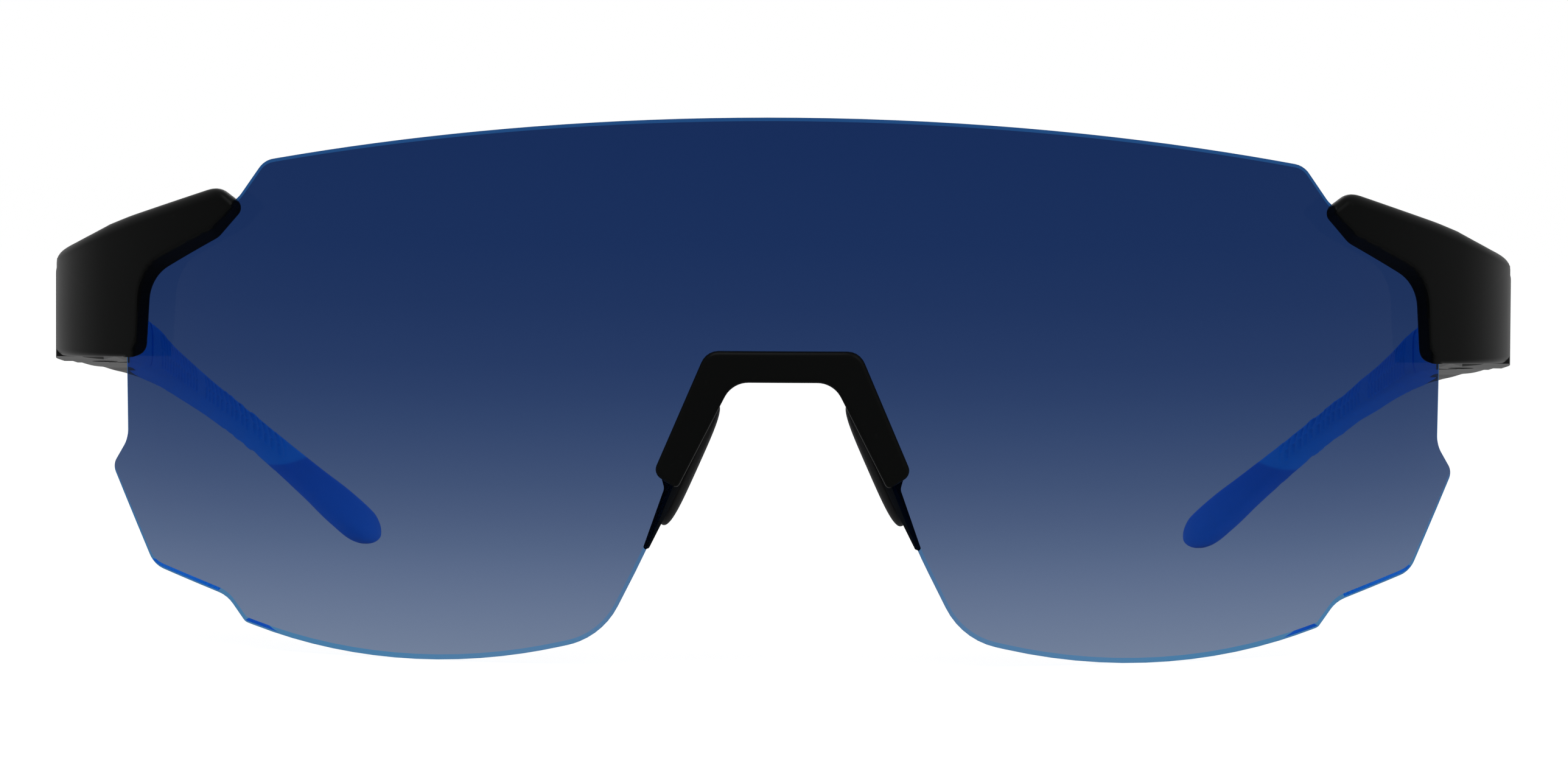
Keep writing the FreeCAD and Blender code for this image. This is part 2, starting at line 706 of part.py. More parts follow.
def make_temple():
    """Hard shell with the hinge tongue, and the soft grip moulded onto its inner side and tip."""
    envelope = make_envelope()
    recess_radius = ear_radius + hinge_gap
    sweep_radius = math.hypot(ear_radius + hinge_gap, hinge_x - temple_front[1]) + hinge_gap
    cuts = []
    for low, high in ((0, tongue_low), (tongue_high, beyond)):
        cuts.append(hinge_pin(recess_radius, low, high))
        cuts.append(box((0, 0, low), (hinge_x, hinge_depth + sweep_radius, high)))
    shell = envelope.cut(cuts)
    tongue = hinge_pin(ear_radius, tongue_low, tongue_high)
    neck = box((knuckle_inner_x, hinge_depth, tongue_low),
               (knuckle_outer_x, hinge_depth + ear_radius + hinge_neck, tongue_high))
    shell = shell.fuse([tongue, neck]).cut(hinge_pin(hinge_shank_radius + running_gap, 0, beyond))
    soft = soft_side()
    tang = make_tang()
    grip = envelope.common(soft).cut(tang)
    shell = shell.cut(soft).fuse(tang).removeSplitter()
    grip = grip.cut(rib_grooves())
    return shell, grip


# ---------------------------------------------------------------- assembly
def make_parts():
    """Every node of the glasses, before they are moved onto their origin."""
    shell, grip = make_temple()
    pieces = {
        "lens": make_lens(),
        "bridge": make_bridge(),
        "nose_pad_bracket": make_bracket(),
    }
    handed = {
        "nose_pad": make_pad(),
        "endpiece_cover": make_cover(),
        "hinge_block": make_hinge_block(),
        "lens_gasket": make_gasket(),
        "clamp_screws": make_clamp_screws(),
        "hinge_screw": make_hinge_screw(),
        "hinge_insert": make_hinge_insert(),
        "temple_arm": shell,
        "temple_grip": grip,
    }
    for name, shape in handed.items():
        pieces[name + "_left"] = shape
        pieces[name + "_right"] = mirrored(shape)
    return pieces


def main():
    pieces = make_parts()
    whole = Part.Compound(list(pieces.values())).optimalBoundingBox(False)
    shift = Vec(0, -(whole.YMin + whole.YMax) / 2, -whole.ZMin)
    os.makedirs("parts", exist_ok=True)
    for name, shape in pieces.items():
        shape.translate(shift)
        shape.exportStep(os.path.join("parts", name + ".step"))
        print(name, "solids", len(shape.Solids), "volume", round(shape.Volume, 1), "valid", shape.isValid())
    print("size", round(whole.XLength, 2), round(whole.YLength, 2), round(whole.ZLength, 2))
    print("shift", round(shift.y, 3), round(shift.z, 3))
    print("hinge axis x", hinge_x, "y", round(hinge_depth + shift.y, 3))


main()
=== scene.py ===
# %% [markdown]
# # Wraparound sport sunglasses
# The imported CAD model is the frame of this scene: the lens, the clamps, the hinges and every screw
# are already in their places, in metres, with +Z up and the lens facing -Y. Blender adds what CAD
# leaves plain: soft moulded forms, ribbed grips, cushioned pads, a dyed lens and real finishes.

# %% Load the frame
import json
import math

import bmesh
import bpy
import numpy as np
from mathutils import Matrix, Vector


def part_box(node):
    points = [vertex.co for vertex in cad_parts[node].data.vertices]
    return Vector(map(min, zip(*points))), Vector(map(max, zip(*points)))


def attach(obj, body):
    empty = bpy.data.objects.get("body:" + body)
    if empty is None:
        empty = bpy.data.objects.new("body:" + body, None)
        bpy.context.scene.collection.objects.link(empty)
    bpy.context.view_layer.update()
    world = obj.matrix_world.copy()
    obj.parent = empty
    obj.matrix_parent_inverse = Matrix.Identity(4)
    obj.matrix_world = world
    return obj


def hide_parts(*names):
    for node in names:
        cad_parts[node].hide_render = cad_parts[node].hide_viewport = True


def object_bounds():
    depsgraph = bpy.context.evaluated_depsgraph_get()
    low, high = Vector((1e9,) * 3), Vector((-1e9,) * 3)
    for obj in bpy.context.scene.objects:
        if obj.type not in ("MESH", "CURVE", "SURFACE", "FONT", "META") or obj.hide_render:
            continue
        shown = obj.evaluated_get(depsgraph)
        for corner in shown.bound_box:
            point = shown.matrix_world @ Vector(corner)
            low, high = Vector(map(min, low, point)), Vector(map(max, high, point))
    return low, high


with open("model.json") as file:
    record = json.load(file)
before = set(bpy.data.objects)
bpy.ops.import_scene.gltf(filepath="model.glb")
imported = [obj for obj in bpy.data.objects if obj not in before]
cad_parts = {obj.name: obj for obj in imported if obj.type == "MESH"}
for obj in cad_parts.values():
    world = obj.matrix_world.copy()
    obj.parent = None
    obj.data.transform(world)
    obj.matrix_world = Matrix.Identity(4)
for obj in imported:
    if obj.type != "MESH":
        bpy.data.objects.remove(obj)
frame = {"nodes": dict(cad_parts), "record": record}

cad_low, cad_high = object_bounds()
MM = 0.001
print("CAD box in mm:", [round((h - l) / MM, 2) for l, h in zip(cad_low, cad_high)])

# %% [markdown]
# ## Where things are
# Glasses are easiest to think about from the lens: how far across from its middle, how deep behind
# its apex, and how high above its foot. Every new piece is worked out in those millimetres, and one
# function moves its points to where the frame says the lens is.

# %% Places counted from the lens
lens_low, lens_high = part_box("lens")
LENS_HEIGHT = 50.0             # millimetres, as every length below unless it says metres
LENS_RADIUS = 80.0             # of its front face, about an upright axis


def placed(across, depth, height):
    """Points in metres from millimetres across, deep and high, as counted from the lens."""
    depth = depth + lens_low[1] / MM
    height = height + lens_high[2] / MM - LENS_HEIGHT
    return np.stack(np.broadcast_arrays(across, depth, height), axis=-1) * MM


print("lens apex and top in mm:", round(lens_low[1] / MM, 3), round(lens_high[2] / MM, 3))

# %% [markdown]
# ## Lines and grids
# A moulded shell is a sheet between two border lines. Border lines are straight runs joined by
# arcs, and the sheet is ruled between them: share u walks along both lines, share t walks across.
# The distance of every point to a border then says how far the surface has rolled away from the
# front.

# %% Border lines
SHORTEST_RUN = 1e-6            # runs shorter than this are skipped


def unit(vectors):
    """Vectors divided by their lengths."""
    return vectors / np.linalg.norm(vectors, axis=-1, keepdims=True)


def rounded_line(corners, steps=10):
    """An open line through corners (u, v) or (u, v, radius): straight runs joined by tangent arcs.

    The arc's centre lies on the corner's bisector, radius / cos(half the turn) away. The arc swings
    from one tangent point to the other: (sin((1-t)w) * start + sin(tw) * end) / sin(w), w the turn.
    """
    corners = np.array([(*corner, 0.0)[:3] for corner in corners], float)
    place, radius = corners[1:-1, :2], corners[1:-1, 2:]
    back = unit(corners[:-2, :2] - place)
    ahead = unit(corners[2:, :2] - place)
    half = (np.pi - np.arccos(np.sum(back * ahead, axis=1, keepdims=True))) / 2
    centre = place + unit(back + ahead) * radius / np.cos(half)
    start = (place + back * radius * np.tan(half) - centre)[:, None]
    end = (place + ahead * radius * np.tan(half) - centre)[:, None]
    share = np.linspace(0, 1, steps)[None, :, None]
    swing = 2 * half[:, None]
    arcs = (np.sin((1 - share) * swing) * start + np.sin(share * swing) * end) / np.sin(swing)
    arcs = (centre[:, None] + arcs).reshape(-1, 2)
    return np.concatenate([corners[:1, :2], arcs, corners[-1:, :2]])


def walked(line, shares):
    """Points of a line at shares of its length."""
    lengths = np.r_[0, np.cumsum(np.linalg.norm(np.diff(line, axis=0), axis=1))]
    at = np.asarray(shares) * lengths[-1]
    return np.stack([np.interp(at, lengths, column) for column in line.T], axis=-1)


def distance_to(points, line):
    """Shortest distance from points to a line: to the nearest place on any of its runs."""
    runs = np.diff(line, axis=0)
    real = np.linalg.norm(runs, axis=1) > SHORTEST_RUN
    runs, starts = runs[real], line[:-1][real]
    away = points[..., None, :] - starts
    share = np.clip(np.sum(away * runs, axis=-1) / np.sum(runs * runs, axis=-1), 0, 1)
    return np.linalg.norm(away - share[..., None] * runs, axis=-1).min(axis=-1)


elbow = rounded_line([(0, 1), (0, 0, 0.5), (1, 0)])
print("a round of 0.5 keeps", round(float(distance_to(np.zeros(2), elbow)), 3), "from its corner")

# %% Ruled sheets and rolled edges
NEAR_EDGE = np.linspace(0, 1, 15) ** 1.3      # shares of a strip beside an edge, closer there
MIDDLE = np.linspace(0, 1, 14)[1:-1]          # shares of what is left between the two strips
STRIP_LIMIT = 0.42                            # of the ruling, at most, for each strip


def ruled(first, second, along, strip):
    """Grid between two lines: at share u a ruling from one line to the other.

    A strip of the given width at both ends of each ruling has its own close steps, narrower where
    the ruling itself is short, and the middle is stepped evenly.
    """
    start, end = walked(first, along), walked(second, along)
    length = np.maximum(np.linalg.norm(end - start, axis=-1), 1e-9)[:, None]
    edge = np.minimum(strip, length * STRIP_LIMIT)
    near = NEAR_EDGE[None] * edge
    middle = MIDDLE[None] * (length - 2 * edge) + edge
    across = np.concatenate([near, middle, length - near[:, ::-1]], axis=1) / length
    return start[:, None] + (end - start)[:, None] * across[..., None]


def rolled(distance, radius):
    """Depth below the surface of a quarter-round edge: radius - sqrt(radius^2 - (radius - d)^2)."""
    inside = np.clip(radius - distance, 0, radius)
    return radius - np.sqrt(np.maximum(radius ** 2 - inside ** 2, 0))


def eased(value, softness):
    """The positive part of a value, its corner softened: (v + sqrt(v^2 + softness^2)) / 2."""
    return (value + np.sqrt(value ** 2 + softness ** 2)) / 2


print("steps along a ruling:", 2 * len(NEAR_EDGE) + len(MIDDLE))

# %% [markdown]
# ## From grids to meshes
# Two ways of closing a surface cover every piece here. A slab has a front grid and a back grid with
# walls round its border. A tube is a run of closed rings with a face at each end, and a pillow is a
# tube whose ends shrink to a point. The welding, the outward normals and the mount are the same for
# all of them.

# %% Slabs and tubes
def grid_quads(rows, columns, closed=False):
    """Corner numbers of every quad of a grid, the last column joined to the first if closed."""
    row = np.arange(rows - 1)[:, None] * columns
    column = np.arange(columns if closed else columns - 1)[None]
    beside = (column + 1) % columns
    below = row + columns
    quads = np.stack([row + column, row + beside, below + beside, below + column], axis=-1)
    return quads.reshape(-1, 4)


def slab(front, back):
    """Closed shell of two grids of the same size, joined round their border."""
    rows, columns = front.shape[:2]
    count = rows * columns
    quads = grid_quads(rows, columns)
    number = np.arange(count).reshape(rows, columns)
    border = np.concatenate([number[0], number[1:, -1], number[-1, -2::-1], number[-2:0:-1, 0]])
    after = np.roll(border, -1)
    walls = np.stack([border, after, after + count, border + count], axis=-1)
    points = np.concatenate([front.reshape(-1, 3), back.reshape(-1, 3)])
    return points, np.concatenate([quads, quads[:, ::-1] + count, walls]).tolist()


def tube(rings):
    """Closed shell of a run of rings, with one face across each end."""
    rows, columns = rings.shape[:2]
    ends = [list(range(columns)), list(range((rows - 1) * columns, rows * columns))]
    return rings.reshape(-1, 3), grid_quads(rows, columns, closed=True).tolist() + ends


print("quads in a grid of 3 by 4:", len(grid_quads(3, 4)))

# %% Mounting a piece
WELD = 1e-7                    # metres


def add_piece(name, shells, side, body, stands_for, crease=38.0):
    """Joins shells into one mesh, on the modelled side or mirrored, welds it and mounts it.

    Equal points become one, every face is turned outwards, and edges sharper than the crease angle
    stay crisp.
    """
    points, faces, count = [], [], 0
    for shell_points, shell_faces in shells:
        points.append(shell_points)
        faces += [[corner + count for corner in face] for face in shell_faces]
        count += len(shell_points)
    points = np.concatenate(points) * (side, 1, 1)
    mesh = bpy.data.meshes.new(name)
    mesh.from_pydata(points.tolist(), [], faces)
    shape = bmesh.new()
    shape.from_mesh(mesh)
    bmesh.ops.remove_doubles(shape, verts=shape.verts, dist=WELD)
    bmesh.ops.recalc_face_normals(shape, faces=shape.faces)
    shape.to_mesh(mesh)
    shape.free()
    mesh.shade_smooth()
    mesh.set_sharp_from_angle(angle=math.radians(crease))
    piece = bpy.data.objects.new(name, mesh)
    bpy.context.scene.collection.objects.link(piece)
    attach(piece, body)
    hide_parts(*stands_for)
    return piece


SIDES = {"left": 1, "right": -1}


def add_pair(name, shells, stands_for, crease=38.0):
    """The same shells on both sides of the front."""
    return [add_piece(f"{name}_{word}", shells, side, "front", [f"{stands_for}_{word}"],
                      crease) for word, side in SIDES.items()]


print("sides modelled once and mirrored:", list(SIDES))

# %% [markdown]
# ## Endpiece covers
# Each end of the lens disappears into a boomerang of black nylon that wraps from the front to the
# side. It could be carved from a block, but it is a sheet: ruled between its inner contour, from
# the tip round the elbow to the foot, and its outer border, along the top and down the rear edge.
# The surface rolls over along the top, and a flat dark band falls from the face to the lens inside.

# %% The wrap and the bend, seen from above
COVER_RADIUS = 82.4           # about the lens's own axis
BEND_RADIUS = 35.0
BEND_CENTRE = (37.3, 50.752)  # across and depth
BEND_START = math.asin(BEND_CENTRE[0] / (COVER_RADIUS - BEND_RADIUS))
BEND_RUN = COVER_RADIUS * BEND_START
COVER_WALL = 2.35
COVER_REAR = 44.0             # depth of the rear edge
SQUARE_TURN = 0.25            # turn over which sinking swings from straight back to square
REAR_TURN = math.acos((BEND_CENTRE[1] - COVER_REAR) / BEND_RADIUS)
REAR_RUN = BEND_RUN + BEND_RADIUS * (REAR_TURN - BEND_START)


def run_at(across):
    """Length along the outer surface, from the middle of the glasses, to a place across."""
    on_bend = np.arcsin(np.clip((across - BEND_CENTRE[0]) / BEND_RADIUS, -1, 1)) - BEND_START
    on_wrap = COVER_RADIUS * np.arcsin(np.clip(across / COVER_RADIUS, -1, 1))
    return np.where(on_wrap < BEND_RUN, on_wrap, BEND_RUN + BEND_RADIUS * on_bend)


def turn_at(run):
    """Turn of the outer surface from straight ahead: run / radius on the wrap, then on the bend."""
    return np.where(run < BEND_RUN, run / COVER_RADIUS, BEND_START + (run - BEND_RUN) / BEND_RADIUS)


def seen_above(run):
    """Across and depth of the outer surface: its arc's centre plus radius (sin, -cos) of turn."""
    turn = turn_at(run)
    wrap = run < BEND_RUN
    radius = np.where(wrap, COVER_RADIUS, BEND_RADIUS)
    across = np.where(wrap, 0, BEND_CENTRE[0]) + radius * np.sin(turn)
    return across, np.where(wrap, LENS_RADIUS, BEND_CENTRE[1]) - radius * np.cos(turn)


def cover_surface(run, height, sunk):
    """Points sunk below the outer surface: straight back on the front, square to it on the side."""
    turn = turn_at(run)
    across, depth = seen_above(run)
    side = np.clip((turn - BEND_START) / SQUARE_TURN, 0, 1)
    way = np.stack([-side * np.sin(turn), 1 - side + side * np.cos(turn)], axis=-1)
    square = -way[..., 0] * np.sin(turn) + way[..., 1] * np.cos(turn)
    return placed(across + way[..., 0] * sunk / square, depth + way[..., 1] * sunk / square, height)


print("cover runs to", round(REAR_RUN, 1), "mm along the surface")

# %% The border lines of a cover
INNER_CONTOUR = [(51.7, 42.5), (50.5, 41.6, 0.9), (53.2, 38.7, 2.5), (60.45, 34.8, 4.0),
                 (60.95, 27.2, 1.4), (63.0, 27.1)]
TOP_FROM_FRONT = [(51.7, 42.5), (53.1, 43.5, 2.0), (62.5, 40.6, 30.0), (76.3, 35.6)]
TOP_FROM_SIDE = [(10.0, 50.0), (36.5, 38.9, 9.0), (46.0, 36.8)]      # depth and height
TOP_BLEND = 0.5               # softness where the two views of the top meet
TIP_STEPS_END = 53.5          # the tip's arc has its own close steps up to here, across
REAR_FOOT = 26.65


def cover_borders():
    """Inner contour and outer border, as runs and heights on the outer surface.

    The top is the lower of two lines, one seen from the front and one from the side, blended.
    """
    inner = rounded_line(INNER_CONTOUR)
    inner[:, 0] = run_at(inner[:, 0])
    front = rounded_line(TOP_FROM_FRONT)
    side = rounded_line(TOP_FROM_SIDE, 24)
    tip = front[front[:, 0] < TIP_STEPS_END, 0]
    run = run_at(np.concatenate([tip, np.linspace(53.6, 64.8, 24)]))
    run = np.concatenate([run, np.linspace(BEND_RUN + 0.1, REAR_RUN, 40)])
    across, depth = seen_above(run)
    seen_front = np.interp(across, front[:, 0], front[:, 1])
    seen_side = np.interp(depth, side[:, 0], side[:, 1])
    top = np.stack([run, seen_front - eased(seen_front - seen_side, TOP_BLEND)], axis=-1)
    rear = np.array([(REAR_RUN, REAR_FOOT)])
    return inner, top, np.concatenate([top, rear])


inner_contour, top_line, outer_border = cover_borders()
print("inner contour points:", len(inner_contour), "outer border points:", len(outer_border))

# %% The cover's shell
BAND_WIDTH = ((27.0, 36.0, 42.0), (1.15, 1.35, 0.8))    # by height: widest below the tip
BAND_FALL = 2.0
BAND_SOFTNESS = 0.22
EASED_REST = 0.02                       # what the softening adds far from the band
TIP_MIDDLE, FOOT_MIDDLE = 5, -6         # the band runs between the middles of these arcs
TOP_ROLL = 1.15
FOOT_ROLL = (0.45, 0.9)                 # in front and at the rear
LEAST_WALL = 0.15


def cover_shell():
    """Front grid sunk by the band and the rolls, and a back grid one wall below the surface.

    The band falls in a straight line over its width towards the inner contour, its start softened.
    The top rolls over in a quarter round, and so does the bottom, more tightly. The rulings stand
    closer together near the foot.
    """
    near_foot = 1 - 0.07 * np.linspace(1, 0, 22)[1:] ** 1.6
    along = np.concatenate([np.linspace(0, 0.93, 110), near_foot])
    flat = ruled(inner_contour, outer_border, along, 2.9)
    bottom = np.array([inner_contour[-1], outer_border[-1]])
    width = np.interp(flat[..., 1], *BAND_WIDTH)
    fall = distance_to(flat, inner_contour[TIP_MIDDLE:FOOT_MIDDLE]) / width
    band = eased(BAND_FALL * (1 - fall), BAND_SOFTNESS) - EASED_REST
    top = np.concatenate([inner_contour[TIP_MIDDLE:0:-1], top_line])
    tight = np.interp(flat[..., 0], [inner_contour[-1, 0], REAR_RUN], FOOT_ROLL)
    rolls = rolled(distance_to(flat, top), TOP_ROLL) + rolled(distance_to(flat, bottom), tight)
    sunk = np.clip(band + rolls * (1 - band / (BAND_FALL + 0.3)), 0, COVER_WALL - LEAST_WALL)
    front = cover_surface(flat[..., 0], flat[..., 1], sunk)
    back = cover_surface(flat[..., 0], flat[..., 1], np.full_like(sunk, COVER_WALL))
    return slab(front, back)


covers = add_pair("endpiece_cover_shell", [cover_shell()], "endpiece_cover")
print("cover faces:", len(covers[0].data.polygons))

# %% [markdown]
# ## Nose bridge
# The bridge is an arch that snaps over the notch of the lens: a band on the front, with rounded
# shoulders and feet, and a lip that passes through the notch. The band is ruled between the inside
# and the outside of the arch like the cover; the lip is a second, narrower slab behind it.

# %% The band and its lip
BRIDGE_FRONT, BRIDGE_BACK = 81.45, 80.05    # radii about the lens's axis
LIP_FRONT, LIP_BACK = 80.6, 78.0
BAND_ROLL, LIP_ROLL = 0.5, 0.3
# right halves of the outlines, from the middle outwards: across, height, radius
BAND_INSIDE = [(4.59, 26.0, 2.4), (9.55, 16.3, 0.45), (10.5, 16.9)]
BAND_OUTSIDE = [(6.96, 28.85, 1.7), (11.75, 17.7, 0.95), (10.5, 16.9)]
LIP_INSIDE = [(4.59, 26.0, 2.4), (9.25, 16.9)]
LIP_OUTSIDE = [(5.5, 27.2, 0.9), (9.85, 16.9)]


def both_halves(half):
    """The rounded line from foot to foot whose right half has these corners."""
    return rounded_line([(-u, *rest) for u, *rest in reversed(half)] + half)


def on_wrap(flat, radius):
    """Points across and up, laid on an upright cylinder about the lens's axis."""
    across, height = flat[..., 0], flat[..., 1]
    return placed(across, LENS_RADIUS - np.sqrt(radius ** 2 - across ** 2), height)


def bridge_shells():
    """Band: a slab whose front rolls over by the distance to its outline.

    Lip: a narrower slab behind it, whose back rolls over along the inside of the arch only.
    """
    inside, outside = both_halves(BAND_INSIDE), both_halves(BAND_OUTSIDE)
    near_foot = np.linspace(0, 1, 14)[1:] ** 1.4 * 0.05
    between = np.linspace(0.05, 0.95, 90)[1:-1]
    along = np.concatenate([[0], near_foot, between, 1 - near_foot[::-1], [1]])
    flat = ruled(inside, outside, along, 1.0)
    sunk = rolled(np.minimum(distance_to(flat, inside), distance_to(flat, outside)), BAND_ROLL)
    band = slab(on_wrap(flat, BRIDGE_FRONT - sunk), on_wrap(flat, np.full_like(sunk, BRIDGE_BACK)))
    inside = both_halves(LIP_INSIDE)
    flat = ruled(inside, both_halves(LIP_OUTSIDE), np.linspace(0, 1, 90), 0.3)
    sunk = rolled(distance_to(flat, inside), LIP_ROLL)
    lip = slab(on_wrap(flat, np.full_like(sunk, LIP_FRONT)), on_wrap(flat, LIP_BACK + sunk))
    return [band, lip]


bridge = add_piece("nose_bridge", bridge_shells(), 1, "front", ["bridge"])
print("bridge faces:", len(bridge.data.polygons))

# %% [markdown]
# ## Lens gaskets
# Between the lens and each hinge block lies a thin strip of soft rubber, cut to the form of the
# clamp and pressed flat. It could be a thickened copy of the clamp's face; a slab on the lens's own
# curve, its edges slightly rounded, needs only the two border lines.

# %% The gasket's strip
GASKET_INNER = [(52.89, 41.07), (53.91, 39.92), (54.2, 39.69), (59.14, 37.03, 1.5),
                (61.94, 32.67, 2.0), (62.2, 28.72, 0.2), (62.5, 28.48)]
GASKET_OUTER = [(52.91, 41.12), (54.29, 40.97), (59.91, 39.1, 0.8), (61.38, 37.49, 0.8),
                (62.84, 31.43), (62.94, 30.49), (62.91, 28.48)]
GASKET_FRONT, GASKET_BACK = 77.95, 77.55    # radii about the lens's axis
GASKET_ROLL = 0.15


def gasket_shell():
    """A slab between two radii, its front face sunk near the border by a quarter round."""
    inside, outside = (rounded_line(line) for line in (GASKET_INNER, GASKET_OUTER))
    flat = ruled(inside, outside, np.linspace(0, 1, 90), 0.3)
    sunk = rolled(np.minimum(distance_to(flat, inside), distance_to(flat, outside)), GASKET_ROLL)
    return slab(on_wrap(flat, GASKET_FRONT - sunk), on_wrap(flat, np.full_like(sunk, GASKET_BACK)))


gaskets = add_pair("lens_seal", [gasket_shell()], "lens_gasket")
print("gasket faces:", len(gaskets[0].data.polygons))

# %% [markdown]
# ## Nose pads
# A pad is a small cushion of soft rubber, thickest in its middle and thin at its rim, that leans
# with the side of the nose. A cloth simulation would swell a sheet into the same form; here it is a
# pillow surface worked out directly, a rounded rectangle that shrinks towards its two faces.

# %% The pad's pillow surface
PAD_LENGTH, PAD_WIDTH, PAD_THICKNESS = 12.4, 6.3, 1.58
PAD_CENTRE = (8.6, 8.6, 18.2)           # across, depth, height
PAD_LEAN, PAD_SPLAY = 24.0, 6.0         # degrees
PAD_CORNER = 3                          # power of the rounded rectangle
PAD_THINNING = 0.25                     # share of the thickness lost at the long sides


def signed_power(values, power):
    """The power of the size of each value, with the value's own sign."""
    return np.sign(values) * np.abs(values) ** power


def pad_shell():
    """Pillow: at rise v its outline is scaled by cos(v)^0.45 and lifted by sin(v)^0.8 of half the
    thickness. The outline is the rounded rectangle |x|^3 + |y|^3 = 1, thinner at its long sides.
    """
    rise = np.linspace(-np.pi / 2, np.pi / 2, 33)[:, None]
    round_way = np.linspace(0, 2 * np.pi, 72, endpoint=False)[None]
    shrink = np.abs(np.cos(rise)) ** 0.45
    long = PAD_LENGTH / 2 * shrink * signed_power(np.cos(round_way), 2 / PAD_CORNER)
    wide = PAD_WIDTH / 2 * shrink * signed_power(np.sin(round_way), 2 / PAD_CORNER)
    thick = PAD_THICKNESS / 2 * signed_power(np.sin(rise), 0.8)
    thick = thick * (1 - PAD_THINNING * (2 * wide / PAD_WIDTH) ** 2)
    lean, splay = math.radians(PAD_LEAN), math.radians(PAD_SPLAY)
    length_way = np.array((-math.sin(lean), 0, math.cos(lean)))
    width_way = np.array((math.sin(splay), math.cos(splay), 0))
    inward = np.cross(length_way, width_way)
    inward /= np.linalg.norm(inward)
    width_way = np.cross(inward, length_way)
    points = (long[..., None] * length_way + wide[..., None] * width_way
              + thick[..., None] * inward + PAD_CENTRE)
    return tube(placed(points[..., 0], points[..., 1], points[..., 2]))


pads = add_pair("nose_cushion", [pad_shell()], "nose_pad", crease=80.0)
print("pad faces:", len(pads[0].data.polygons))

# %% [markdown]
# ## Temples
# A temple is one long form in two materials: a hard black shell outside and a soft blue grip
# moulded onto its inner side and round its tip. One function gives the whole form; each material is
# that form pressed flat against the seam from its own side, so the two always meet.

# %% The form of a temple
STATIONS = np.array([          # depth, inner face, outer face, bottom, top
    (55.15, 66.0, 72.3, 25.75, 32.4), (58.5, 66.0, 72.3, 25.5, 31.9),
    (62.0, 66.0, 72.3, 25.25, 31.35), (66.0, 66.0, 72.3, 24.95, 30.8),
    (69.5, 65.95, 72.2, 24.7, 30.35), (73.0, 65.8, 71.5, 24.45, 29.9),
    (75.5, 65.65, 70.7, 24.05, 29.45), (78.0, 65.5, 70.0, 23.75, 28.95),
    (81.5, 65.3, 69.25, 23.3, 28.25), (86.0, 65.1, 68.65, 22.7, 27.25),
    (98.0, 64.5, 67.7, 21.05, 24.95), (111.0, 63.5, 66.45, 18.9, 22.3),
    (124.0, 61.2, 64.1, 15.8, 18.9), (136.0, 57.9, 60.75, 11.55, 14.8),
    (147.0, 53.8, 57.0, 6.5, 10.4), (154.0, 50.85, 54.45, 2.9, 7.45),
    (158.5, 49.1, 52.45, 0.8, 5.3), (161.5, 48.2, 51.0, 0.25, 3.8), (163.0, 47.6, 50.1, 0.1, 2.9),
])
HINGE = (68.2, 55.0)           # across and depth of the axis
# depths
ARM_START = 58.5
COLLAR_START = 58.9
GRIP_START = 75.0
SHELL_END = 149.0
TIP_END = 163.0
NOSE_LENGTH = 3.2              # of the round end of the tip
SQUARENESS = ((60, 90, 150), (5.5, 4.0, 2.6))      # depths, and the section's power there


def through_stations(depths):
    """The four faces at any depth, on a smooth curve through the stations.

    Between two stations it is the cubic with their values and slopes; a station's slope is the mean
    of the slopes on either side, weighted by the length of the other side.
    """
    knots, values = STATIONS[:, 0], STATIONS[:, 1:]
    gaps = np.diff(knots)[:, None]
    rates = np.diff(values, axis=0) / gaps
    inner = (rates[:-1] * gaps[1:] + rates[1:] * gaps[:-1]) / (gaps[:-1] + gaps[1:])
    slopes = np.concatenate([rates[:1], inner, rates[-1:]])
    span = np.clip(np.searchsorted(knots, depths, side="right") - 1, 0, len(knots) - 2)
    gap = gaps[span]
    t = ((depths - knots[span])[:, None]) / gap
    return ((2 * t ** 3 - 3 * t ** 2 + 1) * values[span]
            + (t ** 3 - 2 * t ** 2 + t) * gap * slopes[span]
            + (3 * t ** 2 - 2 * t ** 3) * values[span + 1]
            + (t ** 3 - t ** 2) * gap * slopes[span + 1])


def temple_rings(depths):
    """Closed upright sections: |x|^n + |z|^n = 1 scaled to the four faces, n less towards the tip.

    Over the last millimetres the section shrinks as the square root of one minus the square of the
    way to the end, which closes the tip in a round nose.
    """
    faces = through_stations(depths)
    inner, outer, bottom, top = [face[:, None] for face in faces.T]
    power = np.interp(depths, *SQUARENESS)[:, None]
    angle = np.linspace(0, 2 * np.pi, 96, endpoint=False)[None]
    nose = np.clip((depths - (TIP_END - NOSE_LENGTH)) / NOSE_LENGTH, 0, 1)[:, None]
    shrink = np.sqrt(np.maximum(1 - nose ** 2, 0))
    wide, tall = signed_power(np.cos(angle), 2 / power), signed_power(np.sin(angle), 2 / power)
    across = (inner + outer) / 2 + (outer - inner) / 2 * wide * shrink
    height = (bottom + top) / 2 + (top - bottom) / 2 * tall * shrink
    return across, np.broadcast_to(depths[:, None], across.shape), height, inner, outer, wide, tall


COLLAR_THICKNESS, GRIP_THICKNESS = 0.5, 1.4
SEAM_LEAN = ((58.9, 62.0, 75.0, 90.0), (0.0, 0.04, 0.28, 1.0))     # depths, shares of the width
LEAN_TOP, LEAN_HEIGHT = 0.3, 1.1        # as shares of half the temple's height


def seam_at(depths, inner, outer, tall):
    """Where shell and grip meet: a thin collar near the hinge, then a thicker grip.

    The seam leans: below the top part it moves outwards by a growing share of what is left of the
    width, so the grip wraps under the temple. The lean begins gently behind the collar's start.
    """
    thick = np.where(depths[:, None] < GRIP_START, COLLAR_THICKNESS, GRIP_THICKNESS)
    share = np.interp(depths, *SEAM_LEAN)[:, None] * np.clip((LEAN_TOP - tall) / LEAN_HEIGHT, 0, 1)
    return inner + thick + (outer - inner - thick) * share


print("temple stations:", len(STATIONS))

